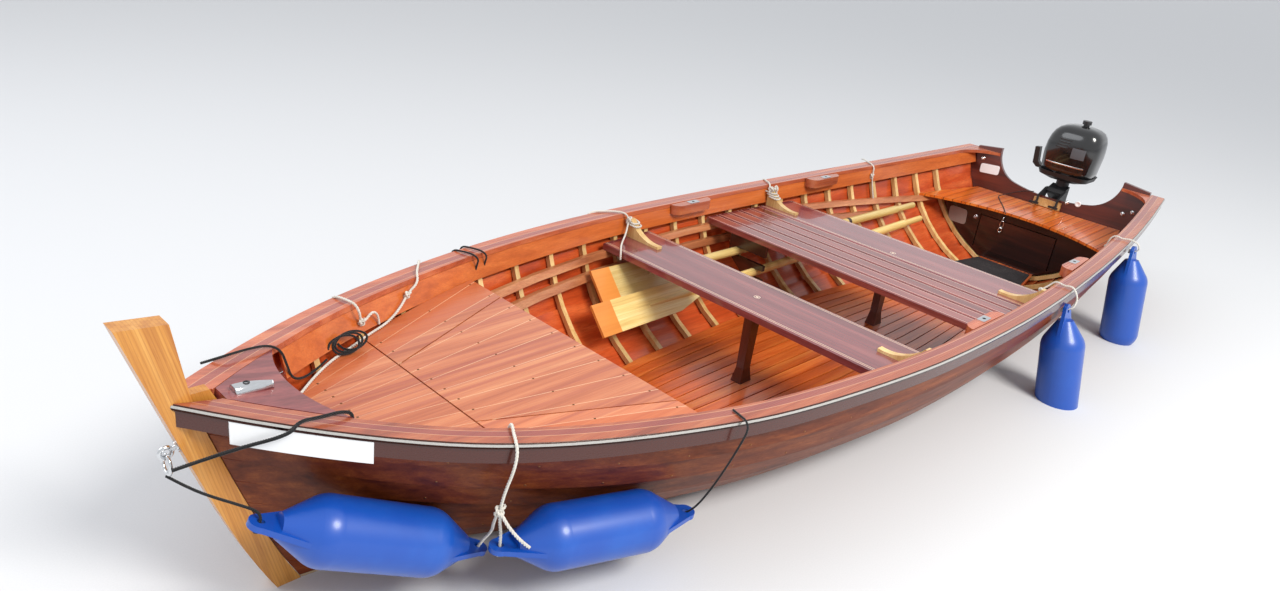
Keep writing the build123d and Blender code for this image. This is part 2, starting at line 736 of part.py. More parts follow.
def seat_front(y):
    half = rib_half(SEAT_FRONT_SIDE, SEAT_TOP - SEAT_THICK)
    return SEAT_FRONT_MIDDLE + (SEAT_FRONT_SIDE - SEAT_FRONT_MIDDLE) * (y / half) ** 2


def seat_side(x):
    return rib_half(x, SEAT_TOP - SEAT_THICK) - 3


def seat_board(start):
    """One board between two distances from the centreline, trimmed to the hull's side and the front edge."""
    places = [SEAT_FRONT_SIDE + (seat_back - SEAT_FRONT_SIDE) * k / 6 for k in range(7)]
    side = [(x, seat_side(x)) for x in places]
    half = side[0][1]
    front = [(seat_front(half * k / 6), half * k / 6) for k in range(6)]
    with BuildPart() as board:
        with BuildSketch(Plane.XY.offset(SEAT_TOP - SEAT_THICK)):
            with BuildLine():
                Polyline((seat_back, 0), *front, *side, close=True)
            make_face()
            with Locations(((seat_back + SEAT_FRONT_SIDE) / 2, start + SEAT_BOARD / 2)):
                Rectangle(seat_back * -2, SEAT_BOARD, mode=Mode.INTERSECT)
        extrude(amount=SEAT_THICK)
    return board.part


seat_count = int((seat_side(SEAT_FRONT_SIDE) - 12) / (SEAT_BOARD + SEAT_GAP)) + 1
seat_boards = [seat_board(SEAT_GAP / 2 + k * (SEAT_BOARD + SEAT_GAP)) for k in range(seat_count)]
save("stern_seat", seat_boards + [mirror(board, about=Plane.XZ) for board in seat_boards])


def riser_room(x):
    return min(riser_outline(x - 15)[0][0], riser_outline(x + 15)[0][0]) - PLAY


def seat_beam(x):
    wide = riser_room(x)
    return slab([(x - 15, -wide), (x + 15, -wide), (x + 15, wide), (x - 15, wide)], SEAT_BASE - 40, SEAT_BASE)


save("seat_beams", [seat_beam(x) for x in (LOCKER_X - 50, -2280, seat_back + 20)])

# Stern locker: a panel across the boat with a door hinged along its lower edge
with BuildPart() as locker_front:
    with BuildSketch(across(LOCKER_X - LOCKER_THICK)):
        heights = (FLOOR_TOP + PLAY, 90, 180, SEAT_BASE - 46)
        side = [(min(rib_half(LOCKER_X - LOCKER_THICK, z), rib_half(LOCKER_X, z)) - 3, z) for z in heights]
        inner_top = riser_room(LOCKER_X)
        side[-1] = (min(side[-1][0], inner_top), riser_top(LOCKER_X) - RISER_DEEP - 2)
        side.append((inner_top - 2, SEAT_BASE - PLAY))
        with BuildLine():
            Polyline(*side, *[(-y, z) for y, z in reversed(side)], close=True)
        make_face()
    extrude(amount=LOCKER_THICK)
    with BuildSketch(across(LOCKER_X - LOCKER_THICK)):
        with Locations((0, (DOOR_LOW - PLAY + DOOR_HIGH + DOOR_GAP) / 2)):
            Rectangle(2 * (DOOR_HALF + DOOR_GAP), DOOR_HIGH - DOOR_LOW + DOOR_GAP + PLAY)
    extrude(amount=LOCKER_THICK, mode=Mode.SUBTRACT)
save("locker_front", locker_front.part)
with BuildPart() as locker_door:
    with BuildSketch(across(LOCKER_X - LOCKER_THICK + 2)):
        with Locations((0, (DOOR_LOW + DOOR_HIGH) / 2)):
            Rectangle(2 * DOOR_HALF, DOOR_HIGH - DOOR_LOW)
    extrude(amount=LOCKER_THICK - 2)
save("locker_door", locker_door.part)
MAT_THICK = 5.0
MAT_PLACES = (LOCKER_X + 40, -1750, -1430)
mat_edge = [(x, floor_half(x) - 12) for x in MAT_PLACES]
save("floor_mat", slab(mat_edge + [(x, -y) for x, y in reversed(mat_edge)], FLOOR_TOP + PLAY,
                       FLOOR_TOP + PLAY + MAT_THICK))

# Bow fittings: a ring through the stem, and a metal socket on the breasthook
RING_Z = 476.0
RING_RADIUS = 24.0
RING_WIRE = 5.0
EYE_RADIUS = 13.0
EYE_REACH = 26.0          # from the stem's face to the middle of the eye
stem_lean = (stem_fore(RING_Z + 5) - stem_fore(RING_Z - 5)) / 10
ring_seat = Plane(origin=(stem_fore(RING_Z), 0, RING_Z), x_dir=(0, 1, 0), z_dir=(1, 0, -stem_lean)).offset(PLAY)
eye_middle = ring_seat.from_local_coords(Vector(0, 0, EYE_REACH))
with BuildPart() as bow_eye:
    with BuildSketch(ring_seat):
        Circle(14)
    extrude(amount=4)
    with BuildSketch(ring_seat):
        Circle(RING_WIRE + 1)
    extrude(amount=EYE_REACH - EYE_RADIUS)
    with Locations(Location(eye_middle, (90, 0, 0))):
        Torus(EYE_RADIUS, RING_WIRE)
ring_top = eye_middle.Z - (EYE_RADIUS - RING_WIRE) + PLAY
with BuildPart() as ring:
    with Locations(Location((eye_middle.X, 0, ring_top + RING_WIRE - 1 - RING_RADIUS), (0, 90, 0))):
        Torus(RING_RADIUS, RING_WIRE - 1)
save("bow_ring", [bow_eye.part, ring.part])

SOCKET_X = 2312.0
socket_plane = Plane(origin=hook_plane.from_local_coords(Vector((SOCKET_X - HORN_X) * hook_run, 0, PLAY)),
                     x_dir=(1, 0, hook_slope), z_dir=(-hook_slope, 0, 1))
with BuildPart() as bow_socket:
    with BuildSketch(socket_plane):
        with BuildLine():
            Polyline((-48, -9), (34, -32), (44, 0), (34, 32), (-48, 9), close=True)
        make_face()
    extrude(amount=4)
    with BuildSketch(socket_plane.offset(4)):
        with BuildLine():
            Polyline((-36, -5), (20, -20), (30, 0), (20, 20), (-36, 5), close=True)
        make_face()
    with BuildSketch(socket_plane.offset(20)):
        with BuildLine():
            Polyline((-10, -4), (14, -15), (22, 0), (14, 15), (-10, 4), close=True)
        make_face()
    loft(ruled=True)
    with Locations(Location(socket_plane.from_local_coords(Vector(8, 0, 24)), socket_plane.location.orientation)):
        Hole(5.5, depth=22)
save("bow_socket", bow_socket.part)

# Motor: clamped on the notch, its steering axis upright behind the transom
TILT_Z = 384.0
TILT_BACK = 49.16         # the tilt pin's middle abaft the transom
STEER_BACK = 73.0         # the steering axis abaft the tilt pin
TILT_X = transom_x(TILT_Z) - TILT_BACK
STEER_X = TILT_X - STEER_BACK
CLAMP_HALF = 62.0
CLAMP_PLATE = 10.0
ARM_LOW = SEAT_TOP + 8    # the clamp's arms end above the seat
SCREW_Z = ARM_LOW + 16
PAD_BLOCK = 13.0
TILT_PIN = 8.0
KING = 28.0               # radius of the leg inside the swivel
KING_PLAY = 0.05
SWIVEL_TOP = 428.0
SWIVEL_LOW = 200.0
CAVITATION_Z = -70.0
PROP_Z = -182.0
PROP_RADIUS = 92.0
PAN_LOW = 452.0
COWL_LOW = 500.0
COWL_TOP = 782.0


def outer_x(z):
    return transom_x(z) - PLAY


def inner_x(z):
    return transom_x(z) + TRANSOM_THICK * 1.02 + PLAY


def clamp_plate():
    arm = PAD_BLOCK + 2 * PLAY
    top = NOTCH_FLOOR + 7.5
    slope = TRANSOM_RAKE * TRANSOM_THICK + 1
    return [
        (outer_x(190), 190), (outer_x(top), top), (inner_x(top) + PLAY, top + slope),
        (inner_x(top) + arm, top + slope), (inner_x(ARM_LOW) + arm, ARM_LOW),
        (inner_x(ARM_LOW) + arm + 12, ARM_LOW), (inner_x(top) + arm + 12, top + 9), (TILT_X + 16, TILT_Z + 16),
        (TILT_X - 16, TILT_Z + 16), (TILT_X - 18, TILT_Z - 20), (outer_x(300) - 30, 300), (outer_x(190) - 24, 190),
    ]


with BuildPart() as motor_clamp:
    for y in (-CLAMP_HALF, CLAMP_HALF - CLAMP_PLATE):
        with BuildSketch(Plane(origin=(0, y, 0), x_dir=(1, 0, 0), z_dir=(0, -1, 0))):
            with BuildLine():
                Polyline(*clamp_plate(), close=True)
            make_face()
        extrude(amount=-CLAMP_PLATE)
    for x, z, radius in ((TILT_X, TILT_Z, TILT_PIN), (outer_x(215) - 12, 215, 7)):
        with BuildSketch(Plane(origin=(x, -CLAMP_HALF, z), x_dir=(1, 0, 0), z_dir=(0, 1, 0))):
            Circle(radius)
        extrude(amount=2 * CLAMP_HALF)
    for y in (-CLAMP_HALF + CLAMP_PLATE / 2, CLAMP_HALF - CLAMP_PLATE / 2):
        screw_x = inner_x(SCREW_Z) + PAD_BLOCK + 4 * PLAY
        screw = Plane(origin=(screw_x, y, SCREW_Z), x_dir=(0, 1, 0), z_dir=(1, 0, 0))
        with BuildSketch(screw):
            Circle(6)
        extrude(amount=52)
        with BuildSketch(screw.offset(46)):
            RectangleRounded(56, 12, 5)
        extrude(amount=7)
save("motor_clamp", motor_clamp.part)


def clamp_block():
    low, high = SEAT_TOP + 3, NOTCH_FLOOR - 1
    return [(inner_x(low) + PLAY, low), (inner_x(low) + PLAY + PAD_BLOCK, low),
            (inner_x(high) + PLAY + PAD_BLOCK, high), (inner_x(high) + PLAY, high)]


with BuildPart() as motor_clamp_pad:
    with BuildSketch(Plane(origin=(0, -80, 0), x_dir=(1, 0, 0), z_dir=(0, -1, 0))):
        with BuildLine():
            Polyline(*clamp_block(), close=True)
        make_face()
    extrude(amount=-160)
save("motor_clamp_pad", motor_clamp_pad.part)

swivel_half = CLAMP_HALF - CLAMP_PLATE - 1
with BuildPart() as motor_swivel:
    with BuildSketch(Plane.XY.offset(SWIVEL_LOW)):
        with Locations((STEER_X, 0)):
            Circle(KING + 9)
    extrude(amount=SWIVEL_TOP - SWIVEL_LOW)
    with BuildSketch(Plane(origin=(0, -swivel_half, 0), x_dir=(1, 0, 0), z_dir=(0, -1, 0))):
        with BuildLine():
            Polyline((STEER_X + 10, SWIVEL_TOP - 8), (TILT_X, TILT_Z + 17), (TILT_X + 17, TILT_Z),
                     (TILT_X, TILT_Z - 17), (STEER_X + 10, TILT_Z - 60), close=True)
        make_face()
    extrude(amount=-2 * swivel_half)
    with BuildSketch(Plane.XY.offset(SWIVEL_LOW - 10)):
        with Locations((STEER_X, 0)):
            Circle(KING + KING_PLAY)
    extrude(amount=SWIVEL_TOP - SWIVEL_LOW + 20, mode=Mode.SUBTRACT)
    with BuildSketch(Plane(origin=(TILT_X, -CLAMP_HALF, TILT_Z), x_dir=(1, 0, 0), z_dir=(0, 1, 0))):
        Circle(TILT_PIN + KING_PLAY)
    extrude(amount=2 * CLAMP_HALF, mode=Mode.SUBTRACT)
save("motor_swivel", motor_swivel.part)

# The head turns in the swivel. Its front faces starboard at rest, so the propeller is on the port side.
LEG_ROWS = ((SWIVEL_LOW - 6, 31, 40, 52), (60, 26, 42, 56), (CAVITATION_Z, 24, 46, 62), (PROP_Z + 28, 20, 44, 60))


def wing(z, half, front, back):
    """Pointed outline of the leg at a height: half thickness along X, reach to its front and to its back."""
    return Plane.XY.offset(z), [(STEER_X, -front), (STEER_X + half, -front / 3), (STEER_X + half, back / 3),
                                (STEER_X + half * 0.3, back), (STEER_X - half * 0.3, back),
                                (STEER_X - half, back / 3), (STEER_X - half, -front / 3)]


with BuildPart() as motor_leg:
    with BuildSketch(Plane.XY.offset(SWIVEL_LOW - 8)):
        with Locations((STEER_X, 0)):
            Circle(KING)
    extrude(amount=SWIVEL_TOP - SWIVEL_LOW + 32)
    with BuildSketch(Plane.XY.offset(SWIVEL_TOP + PLAY)):
        with Locations((STEER_X, 0)):
            Circle(KING + 9)
    extrude(amount=PAN_LOW - SWIVEL_TOP - PLAY)
    add(through([wing(*row) for row in reversed(LEG_ROWS)], ruled=True))
    with BuildSketch(Plane.XY.offset(CAVITATION_Z)):
        with Locations((STEER_X, 45)):
            RectangleRounded(116, 190, 40)
    extrude(amount=6)
    with BuildSketch(Plane(origin=(STEER_X, -78, PROP_Z), x_dir=(1, 0, 0), z_dir=(0, 1, 0))):
        Circle(12)
    with BuildSketch(Plane(origin=(STEER_X, -40, PROP_Z), x_dir=(1, 0, 0), z_dir=(0, 1, 0))):
        Circle(33)
    with BuildSketch(Plane(origin=(STEER_X, 84, PROP_Z), x_dir=(1, 0, 0), z_dir=(0, 1, 0))):
        Circle(28)
    loft(ruled=True)
    with BuildSketch(Plane(origin=(STEER_X - 4, 0, 0), x_dir=(0, 1, 0), z_dir=(1, 0, 0))):
        with BuildLine():
            Polyline((-42, PROP_Z - 24), (60, PROP_Z - 24), (84, PROP_Z - 112), (40, PROP_Z - 112), close=True)
        make_face()
    extrude(amount=8)
    with BuildSketch(Plane(origin=(STEER_X, 80, PROP_Z), x_dir=(1, 0, 0), z_dir=(0, 1, 0))):
        Circle(7)
    extrude(amount=62)
save("motor_leg", motor_leg.part)

HUB_START, HUB_LONG, HUB = 90.0, 40.0, 24.0
with BuildPart() as propeller:
    with BuildSketch(Plane(origin=(STEER_X, HUB_START, PROP_Z), x_dir=(1, 0, 0), z_dir=(0, 1, 0))):
        Circle(HUB)
    extrude(amount=HUB_LONG)
    for k in range(3):
        turn, pitch = math.radians(120 * k), math.radians(28)
        outward = Vector(math.cos(turn), 0, math.sin(turn))
        chord = Vector(-math.sin(turn) * math.cos(pitch), math.sin(pitch), math.cos(turn) * math.cos(pitch))
        middle = (STEER_X, HUB_START + HUB_LONG / 2, PROP_Z)
        with BuildSketch(Plane(origin=middle, x_dir=outward, z_dir=outward.cross(chord))):
            with BuildLine():
                ThreePointArc((18, -16), (62, -38), (PROP_RADIUS - 4, -6))
                ThreePointArc((PROP_RADIUS - 4, -6), (72, 30), (18, 18))
                Line((18, 18), (18, -16))
            make_face()
        extrude(amount=2.5, both=True)
    with BuildSketch(Plane(origin=(STEER_X, HUB_START - 5, PROP_Z), x_dir=(1, 0, 0), z_dir=(0, 1, 0))):
        Circle(7 + KING_PLAY)
    extrude(amount=HUB_LONG + 10, mode=Mode.SUBTRACT)
save("propeller", propeller.part)


def cowl_section(z, half_x, front, back, corner):
    with BuildSketch(Plane.XY.offset(z)) as outline:
        with Locations((STEER_X, (back - front) / 2)):
            RectangleRounded(2 * half_x, front + back, corner)
    return outline.sketch


PAN_ROWS = ((PAN_LOW, 62, 74, 84, 26), (474, 104, 130, 148, 46), (COWL_LOW, 112, 140, 158, 50))
COWL_ROWS = ((COWL_LOW + PLAY, 114, 142, 160, 52), (600, 122, 150, 168, 58), (700, 116, 138, 164, 58),
             (750, 100, 112, 146, 52), (COWL_TOP, 62, 66, 100, 36))
with BuildPart() as motor_pan:
    for row in PAN_ROWS:
        add(cowl_section(*row))
    loft(ruled=True)
save("motor_pan", motor_pan.part)
with BuildPart() as motor_cowl:
    for row in COWL_ROWS:
        add(cowl_section(*row))
    loft(ruled=True)
save("motor_cowl", motor_cowl.part)
with BuildPart() as motor_fuel_cap:
    with BuildSketch(Plane.XY.offset(COWL_TOP + PLAY)):
        with Locations((STEER_X, 30)):
            Circle(17)
    extrude(amount=10)
    with BuildSketch(Plane.XY.offset(COWL_TOP + 10)):
        with Locations((STEER_X, 30)):
            Circle(25)
    extrude(amount=20)
save("motor_fuel_cap", motor_fuel_cap.part)
with BuildPart() as motor_tiller:
    with BuildSketch(Plane(origin=(STEER_X - 17, 0, 0), x_dir=(0, 1, 0), z_dir=(1, 0, 0))):
        with BuildLine():
            Polyline((-134 - PLAY, 484), (-176, 484), (-202, 504), (-212, 600), (-184, 604), (-172, 520),
                     (-154, COWL_LOW), (-140 - PLAY, COWL_LOW), close=True)
        make_face()
    extrude(amount=34)
save("motor_tiller", motor_tiller.part)

# Quarter knees: flat corner pieces between the transom and the rail caps
KNEE_ALONG = 170.0
KNEE_ACROSS = 150.0
quarter_x = inner_x(rail_z(-LENGTH / 2) - CAP_THICK) + 3 * PLAY
quarter_fore = quarter_x + KNEE_ALONG
quarter_slope = (rail_z(quarter_fore) - rail_z(quarter_x)) / KNEE_ALONG
quarter_plane = Plane(origin=(quarter_x, 0, rail_z(quarter_x)), x_dir=(1, 0, quarter_slope),
                      z_dir=(-quarter_slope, 0, 1))
with BuildPart() as quarter_knee:
    with BuildSketch(quarter_plane):
        with BuildLine():
            outer = [(x - quarter_x, cap_inner(x) - 3 * PLAY)
                     for x in (quarter_x, quarter_x + KNEE_ALONG / 2, quarter_fore)]
            tip = (0, outer[0][1] - KNEE_ACROSS)
            Polyline(tip, *outer)
            ThreePointArc(outer[-1], (KNEE_ALONG * 0.36, outer[1][1] - KNEE_ACROSS * 0.3), tip)
        make_face()
    extrude(amount=-CAP_THICK)
save("quarter_knees", [quarter_knee.part, mirror(quarter_knee.part, about=Plane.XZ)])

# Blank registration plates on the outwales of both bows
SIGN_AFT = 2173.0
SIGN_FORE = 2407.0
SIGN_HIGH = 56.0
SIGN_THICK = 2.0


def sign_outline(x):
    top = rail_z(x) - CAP_THICK
    y = rail_half(x) - 2 * rail_stretch(x) + 2 * PLAY
    return block(y, y + SIGN_THICK * rail_stretch(x), top - SIGN_HIGH, top)


sign_places = [SIGN_AFT + (SIGN_FORE - SIGN_AFT) * share for share in (0, 0.33, 0.67, 1)]
sign = through([(across(x), sign_outline(x)) for x in sign_places])
save("registration_plates", [sign, mirror(sign, about=Plane.XZ)])

# Oars: stowed under the thwarts to starboard. Columns: name, handle's end, blade's tip, roll of the blade
OAR_GRIP = 17.0
OAR_LOOM = 22.0
LOOM_TAPER = 3.0          # the loom is this much thinner at the blade
GRIP_LONG = 190.0
BLADE_LONG = 640.0
BLADE_HALF = 63.0
BLADE_THICK = 12.0
OARS = (
    ("oar_outboard", (-1760, -495, 255), (684, -556, 245), 48),
    ("oar_inboard", (-1740, -424, 200), (790, -425, 172), 48),
)


def oar(handle, tip, roll):
    start, end = Vector(*handle), Vector(*tip)
    long = (end - start).length
    along = (end - start).normalized()
    side = Vector(0, 0, 1).cross(along).normalized()
    face = along.cross(side) * math.cos(math.radians(roll)) + side * math.sin(math.radians(roll))
    flat = Plane(origin=start, x_dir=along, z_dir=face)
    round_plane = Plane(origin=start, z_dir=end - start)
    with BuildPart() as body:
        with BuildSketch(round_plane):
            Circle(OAR_GRIP)
        extrude(amount=GRIP_LONG + 1)
        with BuildSketch(round_plane.offset(GRIP_LONG)):
            Circle(OAR_LOOM)
        with BuildSketch(round_plane.offset(long - BLADE_LONG + 20)):
            Circle(OAR_LOOM - LOOM_TAPER)
        with BuildSketch(round_plane.offset(long - BLADE_LONG * 0.45)):
            Circle(OAR_LOOM * 0.4)
        loft(ruled=True)
        with BuildSketch(flat):
            with BuildLine():
                Polyline((long - BLADE_LONG, -14), (long - BLADE_LONG + 190, -BLADE_HALF), (long, -BLADE_HALF - 4),
                         (long, BLADE_HALF + 4), (long - BLADE_LONG + 190, BLADE_HALF), (long - BLADE_LONG, 14),
                         close=True)
            make_face()
        extrude(amount=BLADE_THICK / 2, both=True)
    return body.part


for name, handle, tip, roll in OARS:
    save(name, oar(handle, tip, roll))

# Rests that hang under the aft thwart and under a slat, open inboard so that the oars lift out
REST_PLACES = (THWART_AFT - 70, slat_start + (SLATS - 1) * (SLAT_WIDE + SLAT_GAP) + SLAT_WIDE / 2)
REST_THICK = 18.0
REST_WALL = 22.0


def oar_centre(row, x):
    name, handle, tip, roll = row
    share = (x - handle[0]) / (tip[0] - handle[0])
    return handle[1] + (tip[1] - handle[1]) * share, handle[2] + (tip[2] - handle[2]) * share


def loom_radius(row, x):
    name, handle, tip, roll = row
    return OAR_LOOM - LOOM_TAPER * (x - handle[0] - GRIP_LONG) / (tip[0] - handle[0] - GRIP_LONG - BLADE_LONG)


def oar_rest(x):
    outer, inner = oar_centre(OARS[0], x), oar_centre(OARS[1], x)
    room = loom_radius(OARS[0], x - REST_THICK / 2) + 2 * PLAY
    with BuildPart() as rest:
        with BuildSketch(across(x - REST_THICK / 2)):
            with BuildLine():
                Polyline((outer[0] - room - REST_WALL, THWART_BASE), (outer[0] - room - REST_WALL, outer[1] - room),
                         (inner[0] - room - REST_WALL, inner[1] - room - REST_WALL),
                         (inner[0] + room + 30, inner[1] - room - REST_WALL), (inner[0] + room + 30, THWART_BASE),
                         close=True)
            make_face()
            for y, z in (outer, inner):
                with Locations((y, z)):
                    Circle(room, mode=Mode.SUBTRACT)
                with Locations((y + 150, z)):
                    Rectangle(300, 2 * room, mode=Mode.SUBTRACT)
        extrude(amount=REST_THICK)
    return rest.part


save("oar_rests", [oar_rest(x) for x in REST_PLACES])

# Fenders: a rounded body with a flat lug at each end
FENDER_RADIUS = 84.0
FENDER_BODY = 235.0       # half the length of the round body
FENDER_EYE = 275.0        # from the middle to each eye
FENDER_LUG = 27.0
FENDER_HOLE = 9.0
FENDER_WEB = 14.0
FENDER_AIR = 8.0          # clearance off the planking


def outside_half(x, z):
    """Half breadth over the laps at a height."""
    return inside_half(x, z) + (2 * PLANK + SEAM) * math.hypot(1, (inside_half(x, z) - inside_half(x, z - 10)) / 10)


def side_normal(x, z):
    slope = (outside_half(x + 60, z) - outside_half(x - 60, z)) / 120
    steep = (outside_half(x, z + 40) - outside_half(x, z - 40)) / 80
    return slope, Vector(-slope, 1, -steep).normalized()


def fender(middle, along, flat_normal):
    """A fender from its middle, the direction of its axis and the direction that its lugs face."""
    plane = Plane(origin=middle, x_dir=along, z_dir=flat_normal)
    with BuildPart() as body:
        with BuildSketch(plane):
            with BuildLine():
                Polyline((-FENDER_BODY, 0), (-FENDER_BODY, 30), (-FENDER_BODY + 72, FENDER_RADIUS - 10))
                ThreePointArc((-FENDER_BODY + 72, FENDER_RADIUS - 10), (-FENDER_BODY + 92, FENDER_RADIUS - 2),
                              (-FENDER_BODY + 118, FENDER_RADIUS))
                Line((-FENDER_BODY + 118, FENDER_RADIUS), (FENDER_BODY - 118, FENDER_RADIUS))
                ThreePointArc((FENDER_BODY - 118, FENDER_RADIUS), (FENDER_BODY - 92, FENDER_RADIUS - 2),
                              (FENDER_BODY - 72, FENDER_RADIUS - 10))
                Polyline((FENDER_BODY - 72, FENDER_RADIUS - 10), (FENDER_BODY, 30), (FENDER_BODY, 0),
                         (-FENDER_BODY, 0))
            make_face()
        revolve(axis=Axis(middle, along))
        for side in (-1, 1):
            with BuildSketch(plane):
                with BuildLine():
                    Polyline((side * (FENDER_BODY - 80), -74), (side * FENDER_EYE, -FENDER_LUG),
                             (side * FENDER_EYE, FENDER_LUG), (side * (FENDER_BODY - 80), 74), close=True)
                make_face()
                with Locations((side * FENDER_EYE, 0)):
                    Circle(FENDER_LUG)
                    Circle(FENDER_HOLE, mode=Mode.SUBTRACT)
            extrude(amount=FENDER_WEB / 2, both=True)
    return body.part


# Columns: name, contact with the side along X and Z, rise of the axis and its turn off the side for each unit forward
LYING_FENDERS = (
    ("fender_bow_fore", 2102.7, 280.1, 0.444, 0.392),
    ("fender_bow_aft", 1619.8, 230.2, 0.091, 0.156),
)
for name, x, z, climb, toe in LYING_FENDERS:
    slope, normal = side_normal(x, z)
    contact = Vector(x, outside_half(x, z), z)
    middle = contact + normal * (FENDER_RADIUS + FENDER_AIR)
    along = Vector(1, slope + toe, climb).normalized()
    save(name, fender(middle, along, along.cross(Vector(0, 0, 1)).cross(along)))

# Columns: name, place of the upper eye, lean of the axis
HANGING_FENDERS = (
    ("fender_quarter_fore", (-640, 784.3, 377.5), 0.19),
    ("fender_quarter_aft", (-1585, 727, 436), 0.15),
)
for name, eye, lean in HANGING_FENDERS:
    along = Vector(0, -math.sin(lean), math.cos(lean))
    save(name, fender(Vector(*eye) - along * FENDER_EYE, along, Vector(0, math.cos(lean), math.sin(lean))))

# Cords: straight runs joined by arcs, each with its stopper knots in the same body
CORD_SHARE = 0.45         # part of the shorter run that an arc takes up
CORDS = (
    ("rope_bow", 8,
     ((1862.4, 354.0, 459.0), (1868.0, 362.5, 492.2), (1873.5, 380.8, 520.7), (1891.0, 411.4, 511.6),
      (1908.5, 437.1, 521.6), (1914.0, 457.3, 494.1), (1922.0, 458.0, 448.0), (1928.0, 443.0, 392.0),
      (1929.0, 430.0, 335.0), (1924.0, 425.0, 283.0), (1913.0, 422.5, 236.5), (1916.0, 421.4, 189.8)),
     ((1862.4, 354.0, 459.0, 10.5), (1928.0, 425.0, 322.0, 12.8), (1916.0, 421.4, 189.8, 12.0))),
    ("rope_bow_leg", 8,
     ((1926.5, 418.5, 310.6), (1922.0, 400.0, 268.0), (1886.7, 356.2, 199.1), (1897.0, 329.2, 154.4),
      (1910.2, 320.4, 120.1)),
     ((1910.2, 320.4, 120.1, 12.0),)),
    ("rope_quarter_fore", 8,
     ((-627.3, 668.0, 424.0), (-646.0, 687.4, 447.7), (-647.7, 708.3, 475.8), (-653.0, 743.6, 465.3),
      (-658.3, 773.8, 473.9), (-660.0, 796.7, 445.9), (-655.0, 806.0, 424.0), (-640.0, 804.4, 389.5),
      (-640.0, 769.3, 374.6)),
     ((-627.3, 668.0, 424.0, 11.1), (-640.0, 769.3, 374.6, 12.0))),
    ("rope_quarter_aft", 8,
     ((-1540.0, 617.0, 432.0), (-1546.0, 616.3, 467.3), (-1548.6, 637.0, 495.4), (-1557.0, 671.8, 485.2),
      (-1565.4, 701.6, 494.0), (-1573.0, 745.0, 480.0), (-1585.0, 749.4, 441.4), (-1585.0, 711.9, 433.7)),
     ((-1540.0, 617.0, 432.0, 11.3), (-1585.0, 711.9, 433.7, 12.0))),
    ("rope_starboard_bow", 8,
     ((1452.0, -632.0, 432.0), (1462.0, -632.9, 467.2), (1473.3, -606.2, 495.7), (1509.0, -562.3, 488.9),
      (1544.7, -513.1, 501.2), (1556.0, -488.3, 473.7), (1600.0, -474.0, 456.0), (1648.0, -443.0, 425.0),
      (1712.0, -410.0, 405.3), (1800.0, -372.0, 404.3), (1884.0, -326.0, 404.3), (1962.0, -288.0, 404.3),
      (2036.0, -236.0, 404.3), (2100.0, -182.0, 404.3), (2160.0, -128.0, 404.3)),
     ()),
    ("cord_stem", 7,
     ((2506.0, -2.0, 407.6), (2490.0, 36.0, 402.0), (2462.0, 84.0, 392.0), (2418.0, 150.0, 386.0),
      (2389.2, 181.9, 375.0), (2390.1, 194.1, 358.5), (2399.0, 191.7, 337.1)),
     ((2399.0, 191.7, 337.1, 12.0),)),
    ("cord_bungee", 9,
     ((2504.0, 31.7, 440.0), (2410.0, 109.0, 499.0), (2318.0, 188.0, 545.0), (2300.0, 190.0, 573.0),
      (2246.0, 186.0, 571.0), (2192.0, 182.0, 566.0), (2163.0, 181.0, 545.0), (2170.2, 181.0, 519.0)),
     ((2170.2, 181.0, 519.0, 10.2),)),
)


def cord(name, thick, corners, knots):
    """Sweep a round section along its corners and add a ball for each knot."""
    points = [Vector(*corner) for corner in corners]
    runs = [end - start for start, end in zip(points, points[1:])]
    radii = [CORD_SHARE * min(before.length, after.length) / math.tan(math.radians(before.get_angle(after)) / 2)
             for before, after in zip(runs, runs[1:])]
    with BuildPart() as body:
        with BuildLine():
            path = FilletPolyline(*points, radius=radii)
        with BuildSketch(Plane(origin=path @ 0, z_dir=path % 0)):
            Circle(thick / 2)
        sweep()
        share = body.part.volume / (math.pi * thick ** 2 / 4 * path.length)
        print(name, "long", round(path.length), "volume share", round(share, 4), "radii", [round(r) for r in radii])
        for x, y, z, ball in knots:
            with Locations((x, y, z)):
                Sphere(ball)
    return body.part


for name, thick, corners, knots in CORDS:
    save(name, cord(name, thick, corners, knots))

print("nodes", len(os.listdir("parts")))
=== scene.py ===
"""Looks of an open clinker rowing boat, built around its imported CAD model."""
import math

import bpy
import bmesh
import numpy as np
from mathutils import Euler, Matrix, Vector
from mathutils.bvhtree import BVHTree


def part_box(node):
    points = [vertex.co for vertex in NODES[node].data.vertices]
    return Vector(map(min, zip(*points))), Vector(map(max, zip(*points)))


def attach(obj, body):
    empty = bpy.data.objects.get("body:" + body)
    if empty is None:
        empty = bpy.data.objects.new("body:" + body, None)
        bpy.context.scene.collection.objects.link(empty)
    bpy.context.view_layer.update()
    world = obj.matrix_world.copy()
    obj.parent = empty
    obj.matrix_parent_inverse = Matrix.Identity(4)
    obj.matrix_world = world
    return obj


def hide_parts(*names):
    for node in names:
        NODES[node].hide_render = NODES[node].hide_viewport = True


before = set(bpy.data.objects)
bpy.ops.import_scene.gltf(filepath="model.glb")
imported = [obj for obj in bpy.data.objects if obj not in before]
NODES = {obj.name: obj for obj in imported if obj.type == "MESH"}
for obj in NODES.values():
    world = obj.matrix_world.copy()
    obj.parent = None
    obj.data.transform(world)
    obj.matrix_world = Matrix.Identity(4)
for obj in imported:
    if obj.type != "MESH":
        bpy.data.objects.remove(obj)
scene = bpy.context.scene
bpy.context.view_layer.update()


# Camera: fitted to the photograph
SENSOR_MM, LENS_MM, FAR_CLIP = 36, 26.01, 200
EYE = Vector((3.098, 1.792, 1.681))
YAW, PITCH, ROLL = (math.radians(a) for a in (221.19, 23.27, 7.90))
